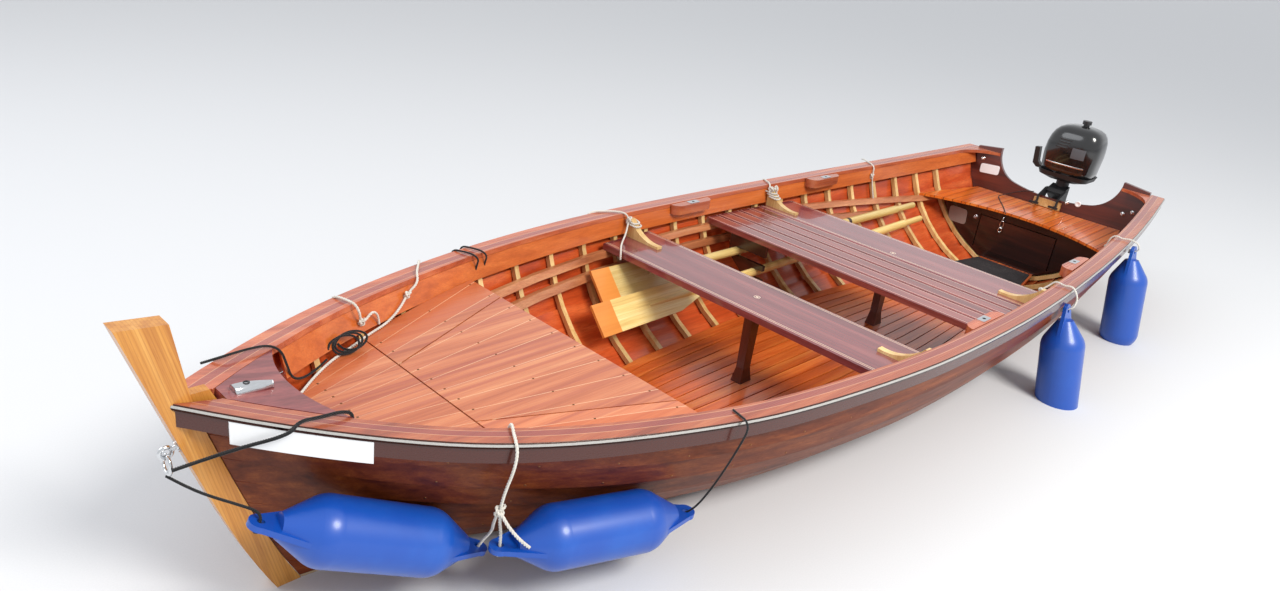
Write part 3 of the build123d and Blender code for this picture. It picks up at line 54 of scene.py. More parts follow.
forward = Vector((math.cos(YAW) * math.cos(PITCH), math.sin(YAW) * math.cos(PITCH), -math.sin(PITCH)))
level = forward.cross(Vector((0, 0, 1))).normalized()
rise = level.cross(forward)
right = level * math.cos(ROLL) + rise * math.sin(ROLL)
upward = rise * math.cos(ROLL) - level * math.sin(ROLL)
camera = bpy.data.objects.new("camera", bpy.data.cameras.new("camera"))
scene.collection.objects.link(camera)
camera.data.sensor_width = SENSOR_MM
camera.data.lens = LENS_MM
camera.data.clip_end = FAR_CLIP
camera.matrix_world = Matrix.Translation(EYE) @ Matrix((right, upward, -forward)).transposed().to_4x4()
scene.camera = camera
scene.view_settings.view_transform = "Standard"


# Mesh helpers
def make(name, vertices, faces, smooth=True):
    mesh = bpy.data.meshes.new(name)
    mesh.from_pydata([tuple(v) for v in vertices], [], faces)
    mesh.validate()
    if smooth:
        mesh.polygons.foreach_set("use_smooth", [True] * len(mesh.polygons))
    made = bpy.data.objects.new(name, mesh)
    scene.collection.objects.link(made)
    return made


def walls(rings, sides, base=0):
    """Faces between rings of sides points each."""
    faces = []
    for start in range(base, base + (rings - 1) * sides, sides):
        for c in range(sides):
            a, b = start + c, start + (c + 1) % sides
            faces.append((a, b, b + sides, a + sides))
    return faces


def capped(rings, sides, base=0):
    """Walls closed by a face on the first ring and one on the last."""
    first = range(base, base + sides)
    return walls(rings, sides, base) + [tuple(reversed(first)), tuple(c + (rings - 1) * sides for c in first)]


def column(items, key, kind=float, width=3):
    """One property of a mesh's items, as rows of width values."""
    values = np.zeros(len(items) * width, kind)
    items.foreach_get(key, values)
    return values.reshape(-1, width)


# Cords: strands twisted round a smooth line that the route's points draw
BLACK_CORDS = ("cord_stem_line", "cord_bungee_line", "cord_far_bow", "cord_far_coil", "cord_fender",
               "lashing_fore", "lashing_aft", "lanyard")
# Each finish's slot, its strands, and the diameters that one turn of them takes
LAID = {"white_rope": ("rope_white", 3, 3.4), "black_cord": ("cord_black", 4, 2.6)}
CORD_PIECES = {finish: [] for finish in LAID}
# By number of strands: how far off the middle each lies and how thick it is, as shares of the radius
STRANDS = {3: (0.50, 0.53), 4: (0.60, 0.42)}
STRAND_SIDES, ROWS_PER_TURN, KNOT_STEPS, KNOT_OVERLAP = 8, 12, 70, 3


def smooth_line(name, route):
    curve = bpy.data.curves.new(name, "CURVE")
    curve.dimensions = "3D"
    curve.resolution_u = 24
    spline = curve.splines.new("NURBS")
    spline.points.add(len(route) - 1)
    for point, place in zip(spline.points, route):
        point.co = (*place, 1)
    spline.order_u = 3
    spline.use_endpoint_u = True
    holder = bpy.data.objects.new(name, curve)
    mesh = bpy.data.meshes.new_from_object(holder)
    line = [v.co.copy() for v in mesh.vertices]
    bpy.data.objects.remove(holder)
    bpy.data.meshes.remove(mesh)
    return line


def evenly(line, step):
    line = np.array([tuple(p) for p in line])
    run = np.concatenate([[0], np.cumsum(np.linalg.norm(np.diff(line, axis=0), axis=1))])
    marks = np.linspace(0, run[-1], max(3, int(run[-1] / step) + 1))
    return np.stack([np.interp(marks, run, line[:, k]) for k in range(3)], axis=1), marks


def strands(name, line, radius, count, lay=3.4):
    """A laid rope: count strands, one turn in lay diameters."""
    places, marks = evenly(line, 2 * radius * lay / ROWS_PER_TURN)
    ahead = np.gradient(places, axis=0)
    ahead /= np.linalg.norm(ahead, axis=1)[:, None]
    normal = np.cross(ahead[0], (0.31, 0.17, 0.94))
    normals = []
    for tangent in ahead:
        normal = normal - tangent * normal.dot(tangent)
        normal = normal / np.linalg.norm(normal)
        normals.append(normal)
    normals = np.array(normals)
    cross = np.cross(ahead, normals)
    offset, thick = (radius * share for share in STRANDS[count])
    ring = np.arange(STRAND_SIDES) * 2 * math.pi / STRAND_SIDES
    around = normals[:, None] * np.cos(ring)[None, :, None] + cross[:, None] * np.sin(ring)[None, :, None]
    vertices, faces = [], []
    for k in range(count):
        turn = marks * 2 * math.pi / (lay * 2 * radius) + 2 * math.pi * k / count
        middle = places + offset * (normals * np.cos(turn)[:, None] + cross * np.sin(turn)[:, None])
        faces += capped(len(places), STRAND_SIDES, len(vertices))
        vertices += (middle[:, None] + thick * around).reshape(-1, 3).tolist()
    return make(name, vertices, faces)


def knot(name, place, size, radius, turn, count):
    """An overhand knot: three lobes pulled tight, size across its widest."""
    reach = (size / 2 - radius) / 3
    spin = Euler([math.radians(a) for a in turn]).to_matrix()
    line = []
    for k in range(KNOT_STEPS + KNOT_OVERLAP):
        t = 2 * math.pi * k / KNOT_STEPS
        lobe = Vector((math.sin(t) + 2 * math.sin(2 * t), math.cos(t) - 2 * math.cos(2 * t),
                       -1.3 * math.sin(3 * t)))
        line.append(Vector(place) + spin @ (lobe * reach))
    return strands(name, line, radius, count)


def cord(name, diameter, route, knots=(), node=None):
    """A cord and its knots, each a place, a width and turns about X, Y and Z in degrees."""
    finish = "black_cord" if name in BLACK_CORDS else "white_rope"
    slot, count, twist = LAID[finish]
    line = smooth_line(name, route)
    piece = strands(name, line, diameter / 2, count, twist)
    ties = [knot(f"{name}_knot_{k + 1}", place, size, diameter * 0.46, turn, count)
            for k, (place, size, turn) in enumerate(knots)]
    for part in [piece] + ties:
        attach(part, "hull")
    if node:
        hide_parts(node)
    CORD_PIECES[finish] += [piece] + ties


# Fender ropes on the port side, from the rib or rail to the fenders' eyes
cord("rope_bow_line", 0.008,
     [(1.8624, 0.354, 0.459), (1.868, 0.3625, 0.4922), (1.8735, 0.3808, 0.5207), (1.891, 0.4114, 0.5116),
      (1.9085, 0.4371, 0.5216), (1.914, 0.4573, 0.4941), (1.922, 0.458, 0.448), (1.928, 0.443, 0.392),
      (1.929, 0.430, 0.335), (1.924, 0.425, 0.283), (1.913, 0.4225, 0.2365), (1.916, 0.4214, 0.1898)],
     knots=(((1.8624, 0.354, 0.459), 0.024, (0, 60, 0)), ((1.928, 0.427, 0.322), 0.040, (80, 0, 20)),
            ((1.916, 0.4214, 0.1898), 0.026, (70, 20, 0))), node="rope_bow")
cord("rope_bow_leg_line", 0.008,
     [(1.9265, 0.4185, 0.3106), (1.922, 0.400, 0.268), (1.8867, 0.3562, 0.1991), (1.897, 0.3292, 0.1544),
      (1.9102, 0.3204, 0.1201)],
     knots=(((1.9102, 0.3204, 0.1201), 0.026, (70, -20, 0)),), node="rope_bow_leg")
cord("rope_quarter_fore_line", 0.008,
     [(-0.6273, 0.668, 0.424), (-0.646, 0.6874, 0.4477), (-0.6477, 0.7083, 0.4758), (-0.653, 0.7436, 0.4653),
      (-0.6583, 0.7738, 0.4739), (-0.660, 0.7967, 0.4459), (-0.655, 0.806, 0.424), (-0.640, 0.8044, 0.3895),
      (-0.640, 0.7693, 0.3746)],
     knots=(((-0.6273, 0.668, 0.424), 0.028, (80, 0, 40)), ((-0.640, 0.7693, 0.3746), 0.026, (80, 20, 0))),
     node="rope_quarter_fore")
cord("rope_quarter_aft_line", 0.008,
     [(-1.540, 0.617, 0.432), (-1.546, 0.6163, 0.4673), (-1.5486, 0.637, 0.4954), (-1.557, 0.6718, 0.4852),
      (-1.5654, 0.7016, 0.494), (-1.573, 0.745, 0.480), (-1.585, 0.7494, 0.4414), (-1.585, 0.7119, 0.4337)],
     knots=(((-1.540, 0.617, 0.432), 0.028, (80, 0, 40)), ((-1.585, 0.7119, 0.4337), 0.026, (80, 20, 0))),
     node="rope_quarter_aft")

cord("rope_bow_tail", 0.009,
     [(1.928, 0.430, 0.318), (1.920, 0.446, 0.290), (1.902, 0.463, 0.258), (1.884, 0.470, 0.234),
      (1.866, 0.474, 0.214)])

# Ropes on the starboard side
cord("rope_starboard_bow_line", 0.008,
     [(1.452, -0.632, 0.432), (1.462, -0.6329, 0.4672), (1.4733, -0.6062, 0.4957), (1.509, -0.5623, 0.4889),
      (1.5447, -0.5131, 0.5012), (1.556, -0.4883, 0.4737), (1.600, -0.474, 0.456), (1.648, -0.443, 0.425),
      (1.712, -0.410, 0.4053), (1.800, -0.372, 0.4043), (1.884, -0.326, 0.4043), (1.962, -0.288, 0.4043),
      (2.036, -0.236, 0.4043), (2.100, -0.182, 0.4043), (2.160, -0.128, 0.4043)],
     knots=(((1.606, -0.469, 0.452), 0.032, (70, 0, 30)),), node="rope_starboard_bow")
cord("rope_hook_loop", 0.008,
     [(1.866, -0.456, 0.478), (1.865, -0.470, 0.498), (1.858, -0.448, 0.512), (1.846, -0.410, 0.512),
      (1.838, -0.380, 0.510), (1.832, -0.366, 0.488), (1.826, -0.372, 0.462), (1.816, -0.378, 0.446),
      (1.800, -0.384, 0.450), (1.782, -0.386, 0.466), (1.766, -0.392, 0.462), (1.750, -0.400, 0.440),
      (1.746, -0.402, 0.414)],
     knots=(((1.818, -0.376, 0.450), 0.032, (70, 0, 20)),))
cord("rope_knee_fore", 0.008,
     [(0.554, -0.776, 0.459), (0.530, -0.776, 0.4665), (0.500, -0.768, 0.466), (0.453, -0.748, 0.466),
      (0.425, -0.722, 0.467), (0.406, -0.700, 0.462), (0.400, -0.688, 0.440), (0.412, -0.680, 0.412),
      (0.430, -0.668, 0.386), (0.462, -0.650, 0.3665), (0.502, -0.618, 0.3655), (0.534, -0.586, 0.366),
      (0.548, -0.572, 0.352), (0.548, -0.570, 0.330)],
     knots=(((0.398, -0.688, 0.438), 0.040, (80, 0, 40)),))
cord("rope_knee_aft", 0.008,
     [(-0.652, -0.782, 0.458), (-0.640, -0.772, 0.466), (-0.622, -0.740, 0.466), (-0.604, -0.706, 0.466),
      (-0.586, -0.690, 0.448), (-0.583, -0.672, 0.425)],
     knots=(((-0.584, -0.680, 0.444), 0.042, (80, 0, 50)), ((-0.600, -0.664, 0.452), 0.034, (20, 40, 50))))
for knee, middle, turns in (("fore", 0.374, 2), ("aft", -0.602, 3)):
    for k in range(turns):
        z, reach = 0.428 - 0.0105 * k, -0.6615 + 0.0125 * k
        cord(f"rope_knee_{knee}_turn_{k + 1}", 0.008,
             [(middle + 0.022, reach - 0.046, z + 0.004), (middle + 0.0215, reach - 0.010, z),
              (middle + 0.012, reach + 0.001, z - 0.002), (middle - 0.012, reach + 0.001, z - 0.002),
              (middle - 0.0215, reach - 0.010, z), (middle - 0.022, reach - 0.046, z + 0.004)])
cord("rope_rib_aft", 0.008,
     [(-1.534, -0.7545, 0.478), (-1.524, -0.740, 0.4845), (-1.500, -0.700, 0.484), (-1.478, -0.655, 0.482),
      (-1.468, -0.632, 0.470), (-1.462, -0.628, 0.440), (-1.463, -0.624, 0.400), (-1.468, -0.610, 0.340),
      (-1.474, -0.590, 0.280)],
     knots=(((-1.460, -0.630, 0.424), 0.036, (80, 0, 10)),))

# Dark cords: the elastic at the bow ring, the bow's cords and coil, lashings, a fender's line, a lanyard
cord("cord_bungee_line", 0.009,
     [(2.504, 0.031, 0.440), (2.410, 0.109, 0.499), (2.318, 0.188, 0.545), (2.300, 0.190, 0.573),
      (2.246, 0.186, 0.563), (2.192, 0.182, 0.558), (2.165, 0.181, 0.541), (2.1702, 0.181, 0.519)],
     node="cord_bungee")
cord("cord_stem_line", 0.007,
     [(2.506, -0.002, 0.4076), (2.490, 0.036, 0.402), (2.462, 0.084, 0.392), (2.418, 0.150, 0.386),
      (2.3892, 0.1819, 0.375), (2.3901, 0.1941, 0.3585), (2.399, 0.1917, 0.3371)],
     knots=(((2.399, 0.1917, 0.3371), 0.024, (70, 0, 30)),), node="cord_stem")
cord("cord_far_bow", 0.007,
     [(2.352, -0.176, 0.560), (2.325, -0.146, 0.579), (2.242, -0.177, 0.566), (2.180, -0.196, 0.552),
      (2.150, -0.192, 0.530), (2.140, -0.186, 0.490), (2.122, -0.198, 0.440), (2.080, -0.225, 0.412),
      (2.020, -0.262, 0.4045), (1.972, -0.296, 0.4055)])
COIL_TURNS, COIL_HALF_LONG, COIL_HALF_HIGH, COIL_STEPS = 3, 0.046, 0.026, 12
coil = []
for k in range(COIL_STEPS * COIL_TURNS + 1):
    angle = math.radians(360 / COIL_STEPS * k)
    swell = 1 + 0.07 * math.sin(0.9 * k)
    coil.append((1.920 + COIL_HALF_LONG * swell * math.cos(angle) - 0.0012 * k,
                 -0.300 - 0.0068 * k / COIL_STEPS - 0.010 * math.sin(angle),
                 0.4325 + COIL_HALF_HIGH * math.sin(angle)))
cord("cord_far_coil", 0.007, coil)
for place, shift in (("fore", 0.046), ("aft", 0.0)):
    lean = 0.30 * shift
    cord(f"lashing_{place}", 0.007,
         [(1.209 + shift, -0.606 + lean, 0.410), (1.208 + shift, -0.598 + lean, 0.440),
          (1.212 + shift, -0.585 + lean, 0.468), (1.222 + shift, -0.606 + lean, 0.4815),
          (1.240 + shift, -0.646 + lean, 0.4815), (1.250 + shift, -0.676 + lean, 0.478),
          (1.254 + shift, -0.686 + lean, 0.462), (1.255 + shift, -0.684 + lean, 0.444)])
cord("cord_fender", 0.006,
     [(1.3851, 0.5640, 0.158), (1.386, 0.590, 0.184), (1.374, 0.624, 0.262), (1.358, 0.652, 0.350),
      (1.342, 0.672, 0.430), (1.333, 0.677, 0.464), (1.326, 0.662, 0.481), (1.318, 0.636, 0.4795),
      (1.310, 0.604, 0.4795)])
cord("lanyard", 0.005,
     [(-2.436, -0.090, 0.372), (-2.432, -0.140, 0.362), (-2.428, -0.205, 0.330), (-2.412, -0.252, 0.304),
      (-2.365, -0.262, 0.3025), (-2.290, -0.222, 0.3025), (-2.190, -0.158, 0.3025), (-2.100, -0.104, 0.3025),
      (-2.020, -0.064, 0.3025)])


# Shader helpers
class Shader:
    """A material under construction: its tree, its surface shader and short ways to add nodes."""

    def __init__(self, name, **sockets):
        self.material = bpy.data.materials.new(name)
        self.material.use_nodes = True
        self.tree = self.material.node_tree
        self.surface = self.tree.nodes["Principled BSDF"]
        for socket, value in sockets.items():
            self.surface.inputs[socket.replace("_", " ")].default_value = value
        self.place = self.node("ShaderNodeTexCoord").outputs["Object"]

    def node(self, kind, inputs=(), **settings):
        """A node with its settings, and its inputs set or linked by name or number."""
        made = self.tree.nodes.new(kind)
        for key, value in settings.items():
            setattr(made, key, value)
        for socket, value in dict(inputs).items():
            self.link(value, made.inputs[socket])
        return made

    def link(self, value, socket):
        if isinstance(value, bpy.types.NodeSocket):
            self.tree.links.new(value, socket)
        else:
            socket.default_value = value

    def math(self, operation, a, b=0.0):
        return self.node("ShaderNodeMath", {0: a, 1: b}, operation=operation).outputs[0]

    def mix(self, share, a, b, blend="MIX"):
        inputs = {0: share, 6: a, 7: b}
        return self.node("ShaderNodeMix", inputs, data_type="RGBA", blend_type=blend).outputs[2]

    def tint(self, mask, strength, under, over):
        """Over laid on under where the mask is, as strongly as given."""
        return self.mix(self.math("MULTIPLY", mask, strength), under, over)

    def part(self, vector, letter):
        return self.node("ShaderNodeSeparateXYZ", {0: vector}).outputs["XYZ".index(letter)]

    def axis(self, letter):
        return self.part(self.place, letter)

    def normal(self, letter):
        return self.part(self.node("ShaderNodeTexCoord").outputs["Normal"], letter)

    def ranged(self, value, low, high, first=0.0, last=1.0, **settings):
        """The value from low to high mapped to first to last."""
        inputs = {"Value": value, "From Min": low, "From Max": high, "To Min": first, "To Max": last}
        return self.node("ShaderNodeMapRange", inputs, **settings).outputs[0]

    def step(self, value, low, high):
        return self.ranged(value, low, high, interpolation_type="SMOOTHSTEP")

    def below(self, value, low, high):
        """1 under low, fading to 0 at high."""
        return self.math("SUBTRACT", 1.0, self.step(value, low, high))

    def near(self, value, centre, half, soft):
        """1 within half of centre, fading over soft."""
        return self.below(self.math("ABSOLUTE", self.math("SUBTRACT", value, centre)), half, half + soft)

    def curve(self, value, pairs):
        """A smooth function through a few pairs, its input scaled to their range."""
        low, high = pairs[0][0], pairs[-1][0]
        made = self.node("ShaderNodeFloatCurve", {"Value": self.ranged(value, low, high)})
        points = made.mapping.curves[0].points
        while len(points) < len(pairs):
            points.new(0.5, 0.5)
        for point, (x, y) in zip(points, pairs):
            point.location = ((x - low) / (high - low), y)
        made.mapping.update()
        return made.outputs[0]

    def scaled(self, scale, shift=None, turn=None):
        place = self.place
        if turn is not None:
            place = self.node("ShaderNodeMapping", {"Vector": place, "Rotation": turn}).outputs[0]
        inputs = {"Vector": place, "Scale": scale}
        if shift is not None:
            spread = {k: self.math("MULTIPLY", shift, factor) for k, factor in enumerate((3.7, 5.3, 7.9))}
            inputs["Location"] = self.node("ShaderNodeCombineXYZ", spread).outputs[0]
        return self.node("ShaderNodeMapping", inputs).outputs[0]

    def noise(self, vector, scale=1.0, detail=4.0, rough=0.55, twist=0.0):
        inputs = {"Vector": vector, "Scale": scale, "Detail": detail, "Roughness": rough, "Distortion": twist}
        return self.node("ShaderNodeTexNoise", inputs).outputs["Fac"]

    def bands(self, vector, direction, **more):
        inputs = {"Vector": vector, **{socket.replace("_", " "): value for socket, value in more.items()}}
        made = self.node("ShaderNodeTexWave", inputs, wave_type="BANDS", bands_direction=direction)
        return made.outputs["Fac"]

    def ramp(self, value, *stops):
        made = self.node("ShaderNodeValToRGB", {0: value})
        elements = made.color_ramp.elements
        while len(elements) < len(stops):
            elements.new(0.5)
        for element, (place, colour) in zip(elements, stops):
            element.position = place
            element.color = colour if len(colour) == 4 else (*colour, 1)
        return made.outputs[0]

    def colour(self, value):
        self.link(value, self.surface.inputs["Base Color"])

    def finish(self, colour, marks, rough, bump, depth=0.0006, height=None):
        """Colour, roughness between two values by the marks, and relief from them or from a height."""
        self.colour(colour)
        self.link(self.ranged(marks, 0.0, 1.0, *rough), self.surface.inputs["Roughness"])
        relief = {"Strength": bump, "Distance": depth, "Height": marks if height is None else height}
        self.link(self.node("ShaderNodeBump", relief).outputs[0], self.surface.inputs["Normal"])


def rgb(*levels):
    """Linear colour of an sRGB red, green and blue in 0 to 255."""
    return tuple(((c / 255 + 0.055) / 1.055) ** 2.4 if c > 10 else c / 255 / 12.92 for c in levels) + (1.0,)


def stretch(along, long, cross):
    return tuple(long if letter == along else cross for letter in "XYZ")


def lacquered(name, coat, coat_rough=0.12, specular=0.45):
    return Shader(name, Coat_Weight=coat, Coat_Roughness=coat_rough, Specular_IOR_Level=specular)


def grain(s, along, dark, mid, light, broad=9, fine=150, tone=0.16, contrast=1.0, turn=None):
    """Wood figure along one axis: broad streaks, fine fibres and a tone for each board."""
    dark, mid, light = (rgb(*levels) for levels in (dark, mid, light))
    board = s.node("ShaderNodeAttribute", attribute_name="tone").outputs["Fac"]
    figure = s.noise(s.scaled(stretch(along, 0.45, broad), board, turn), 2.2, 6, 0.62, 0.35)
    fibre = s.noise(s.scaled(stretch(along, 3.0, fine), board, turn), 1.6, 3, 0.7)
    pore = s.noise(s.scaled(stretch(along, 9.0, fine * 2.4), board, turn), 2.0, 2, 0.6)
    half = 0.22 / contrast
    wood = s.ramp(figure, (0.5 - half, dark), (0.5, mid), (0.5 + half, light))
    wood = s.tint(s.step(fibre, 0.35, 0.7), 0.35, wood, dark)
    wood = s.tint(s.step(pore, 0.60, 0.72), 0.30, wood, tuple(c * 0.45 for c in dark[:3]) + (1,))
    value = s.math("ADD", s.math("MULTIPLY", board, 2 * tone), 1 - tone)
    grey = s.node("ShaderNodeCombineColor", {k: value for k in range(3)})
    return s.mix(1.0, wood, grey.outputs[0], "MULTIPLY"), figure, fibre


def varnished(name, along, dark, mid, light, coat=0.6, rough=(0.26, 0.42), **more):
    s = lacquered(name, coat)
    wood, _, fibre = grain(s, along, dark, mid, light, **more)
    s.finish(wood, fibre, rough, 0.10)
    return s


# Which solid of its node each vertex belongs to, as a tone from 0 to 1
def solids_of(mesh):
    keys, label = np.unique(np.round(column(mesh.vertices, "co"), 5), axis=0, return_inverse=True)
    label = label.reshape(-1)
    a, b = label[column(mesh.edges, "vertices", int, 2)].T
    root = np.arange(len(keys))
    while True:
        low = np.minimum(root[a], root[b])
        new = root.copy()
        np.minimum.at(new, a, low)
        np.minimum.at(new, b, low)
        new = new[new]
        if (new == root).all():
            break
        root = new
    return root[label]


for name, node in NODES.items():
    found = solids_of(node.data)
    order = {root: k for k, root in enumerate(sorted(set(found)))}
    tones = [(order[root] * 0.61803 + len(name) * 0.17) % 1 for root in found]
    tone = node.data.attributes.get("tone") or node.data.attributes.new("tone", "FLOAT", "POINT")
    tone.data.foreach_set("value", np.asarray(tones, np.float32))


# Rail's outer edge at even stations, where the gunwale's own edges cross them
STATIONS, STATION_MARGIN = 28, 0.002
rail = NODES["gunwale_port"].data
rail_points = column(rail.vertices, "co")
start, end = rail_points[column(rail.edges, "vertices", int, 2)].transpose(1, 0, 2)
RAIL_EDGE = []
ends = rail_points[:, 0].min() + STATION_MARGIN, rail_points[:, 0].max() - STATION_MARGIN
for x in np.linspace(*ends, STATIONS):
    cross = (start[:, 0] - x) * (end[:, 0] - x) < 0
    share = (x - start[cross, 0]) / (end[cross, 0] - start[cross, 0])
    RAIL_EDGE.append((float(x), float((start[cross, 1] + share * (end[cross, 1] - start[cross, 1])).max())))

# Outer faces of the planking take the second material
for name, side in (("strakes_port", 1), ("strakes_starboard", -1)):
    faces = NODES[name].data.polygons
    outward = column(faces, "normal") @ np.array((0, 0.6 * side, -0.8)) > 0
    faces.foreach_set("material_index", outward.astype(np.int32))


# Materials
def dress(shader, *pieces, second=None):
    for piece in pieces:
        mesh = (NODES[piece] if isinstance(piece, str) else piece).data
        kept = column(mesh.polygons, "material_index", np.int32, 1).reshape(-1)
        mesh.materials.clear()
        mesh.materials.append(shader.material)
        if second is not None:
            mesh.materials.append(second.material)
            mesh.polygons.foreach_set("material_index", kept)


stem = lacquered("stem_wood", 0.45, 0.18, 0.35)
STEM_LEAN = (0, math.radians(-15), 0)
wood, _, fibre = grain(stem, "Z", (168, 100, 38), (206, 142, 62), (222, 164, 84), broad=14, fine=120,
                       turn=STEM_LEAN)
rings = stem.bands(stem.scaled((1, 1, 0.12), turn=STEM_LEAN), "X", Scale=44, Distortion=1.6, Detail=3,
                   Detail_Scale=1.2)
wood = stem.tint(stem.step(rings, 0.70, 0.98), 0.30, wood, rgb(160, 92, 34))
stem.finish(wood, fibre, (0.30, 0.46), 0.12, height=rings)
rib = varnished("rib_wood", "Z", (196, 146, 84), (228, 192, 128), (240, 214, 158), fine=90, coat=0.4)
bearer = varnished("bearer_wood", "Y", (150, 92, 40), (200, 148, 84), (220, 178, 118))

inside = varnished("hull_inside", "X", (150, 52, 20), (196, 80, 34), (222, 116, 60), broad=7,
                   fine=110, coat=0.45, rough=(0.24, 0.40))
outside = lacquered("hull_outside", 0.13, 0.16, 0.16)
wood, _, fibre = grain(outside, "X", (80, 30, 11), (126, 58, 24), (158, 84, 38), broad=12, tone=0.2)
streak = outside.noise(outside.scaled((0.5, 1, 46)), 1.6, 5, 0.65)
wood = outside.tint(outside.step(streak, 0.50, 0.66), 0.45, wood, rgb(84, 28, 16))
SCRAPES = ((1.578, 0.573, 0.385, 0.015), (1.530, 0.590, 0.396, 0.010))
for x, y, z, size in SCRAPES:
    away = outside.node("ShaderNodeVectorMath", {0: outside.place, 1: (x, y, z)}, operation="DISTANCE")
    fray = outside.math("MULTIPLY", outside.noise(outside.place, 160, 3), 0.012)
    ragged = outside.math("ADD", away.outputs["Value"], fray)
    wood = outside.tint(outside.below(ragged, size, size + 0.003), 0.8, wood, rgb(206, 170, 158))
WATERLINE_MARK, MARK_HALF, MARK_SOFT = 0.004, 0.0025, 0.002
wood = outside.tint(outside.near(outside.axis("Z"), WATERLINE_MARK, MARK_HALF, MARK_SOFT), 0.6, wood,
                    rgb(214, 196, 160))
outside.finish(wood, fibre, (0.30, 0.48), 0.10)

# Rail cap: laminations follow the outer edge, and the face below it is dark
cap = lacquered("cap_wood", 0.6, 0.10, 0.4)
wood, _, fibre = grain(cap, "X", (140, 66, 44), (188, 98, 64), (214, 130, 86), broad=12, fine=160)
inward = cap.math("SUBTRACT", cap.curve(cap.axis("X"), RAIL_EDGE), cap.math("ABSOLUTE", cap.axis("Y")))
lamina = cap.noise(cap.scaled((0.35, 2, 2)), 1.0, 2)
wave = cap.math("ADD", inward, cap.math("MULTIPLY", cap.math("SUBTRACT", lamina, 0.5), 0.004))
wood = cap.tint(cap.near(wave, 0.046, 0.013, 0.003), 0.65, wood, rgb(142, 68, 66))
for line in (0.032, 0.060):
    wood = cap.tint(cap.near(wave, line, 0.0006, 0.0008), 0.7, wood, rgb(226, 170, 130))
upright = cap.below(cap.math("ABSOLUTE", cap.normal("Z")), 0.45, 0.60)
skirt = cap.math("MULTIPLY", upright, cap.below(inward, 0.020, 0.028))
cap.finish(cap.mix(skirt, wood, rgb(70, 22, 8)), fibre, (0.20, 0.36), 0.08)

inwale = varnished("inwale_wood", "X", (164, 74, 26), (200, 102, 42), (220, 128, 62), broad=14,
                   contrast=0.7)
riser = varnished("riser_wood", "X", (140, 78, 44), (196, 122, 78), (220, 156, 108))
floor_wood = varnished("floor_wood", "X", (150, 58, 18), (204, 94, 34), (230, 134, 62))

# Stern seat: strips with dark gaps, some of them darker
seat = lacquered("seat_wood", 0.6)
SEAT_STRIP = 0.046
wood, _, fibre = grain(seat, "X", (184, 78, 16), (226, 112, 32), (242, 146, 62), tone=0.10)
strip = seat.math("FRACT", seat.math("ADD", seat.math("DIVIDE", seat.axis("Y"), SEAT_STRIP), 50.5))
gap = seat.near(strip, 0.5, 0.030, 0.015)
darker = seat.noise(seat.scaled((0.01, 1 / SEAT_STRIP, 0.01)), 0.9, 0)
wood = seat.tint(seat.step(darker, 0.5, 0.6), 0.35, wood, rgb(196, 84, 24))
seat.finish(seat.tint(gap, 0.85, wood, rgb(84, 26, 10)), fibre, (0.24, 0.40), 0.35, 0.001,
            seat.math("SUBTRACT", 1.0, gap))
dark_wood = varnished("dark_wood", "Y", (20, 8, 6), (44, 18, 13), (74, 32, 22))
post_wood = varnished("post_wood", "Z", (34, 8, 8), (66, 16, 15), (100, 30, 24), coat=0.9)
transom_wood = varnished("transom_wood", "Y", (48, 14, 9), (92, 32, 20), (132, 54, 32))


COLLAR_X, OAR_BAND = -1.092, 0.10


def oar_finish(name, collar):
    """Pale spruce with a stained band at the blade's end and a dark collar on the loom."""
    s = lacquered(f"{name}_wood", 0.4, 0.15, 0.4)
    wood, figure, fibre = grain(s, "X", (196, 156, 84), (234, 204, 130), (246, 226, 166), broad=16)
    along = s.axis("X")
    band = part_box(name)[1].x - OAR_BAND
    stain = s.mix(figure, rgb(214, 122, 44), rgb(238, 160, 76))
    wood = s.mix(s.step(along, band, band + 0.002), wood, stain)
    if collar is not None:
        wood = s.mix(s.near(along, collar, 0.012, 0.001), wood, rgb(52, 30, 20))
    s.finish(wood, fibre, (0.30, 0.48), 0.10)
    return s


oar_outboard = oar_finish("oar_outboard", COLLAR_X)
oar_inboard = oar_finish("oar_inboard", None)
hook_wood = varnished("hook_wood", "X", (92, 36, 38), (138, 66, 66), (172, 96, 84), broad=12)
pad_wood = varnished("pad_wood", "X", (150, 98, 48), (206, 158, 96), (228, 190, 134))

# Thwarts and slats: fine pale lines along their edges
thwart = lacquered("thwart_wood", 1.0, 0.05, 0.5)
wood, _, fibre = grain(thwart, "Y", (92, 38, 40), (132, 62, 66), (160, 86, 84), fine=130)
for name in ("thwart_aft", "thwart_forward"):
    low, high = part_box(name)
    for line in (low.x + 0.010, high.x - 0.010, low.x + 0.019, high.x - 0.019):
        wood = thwart.mix(thwart.near(thwart.axis("X"), line, 0.0009, 0.0006), wood, rgb(240, 206, 176))
thwart.finish(wood, fibre, (0.16, 0.30), 0.06, 0.0005)
slat = lacquered("slat_wood", 0.9, 0.08, 0.5)
wood, _, fibre = grain(slat, "Y", (92, 36, 36), (138, 64, 60), (172, 92, 80), fine=130)
slat_points = column(NODES["thwart_slats"].data.vertices, "co")
slat_runs = solids_of(NODES["thwart_slats"].data)
for run in sorted(set(slat_runs)):
    reach = slat_points[slat_runs == run][:, 0]
    for line in (reach.min() + 0.007, reach.max() - 0.007):
        wood = slat.mix(slat.near(slat.axis("X"), line, 0.0011, 0.0006), wood, rgb(236, 190, 176))
slat.finish(wood, fibre, (0.18, 0.32), 0.06, 0.0005)

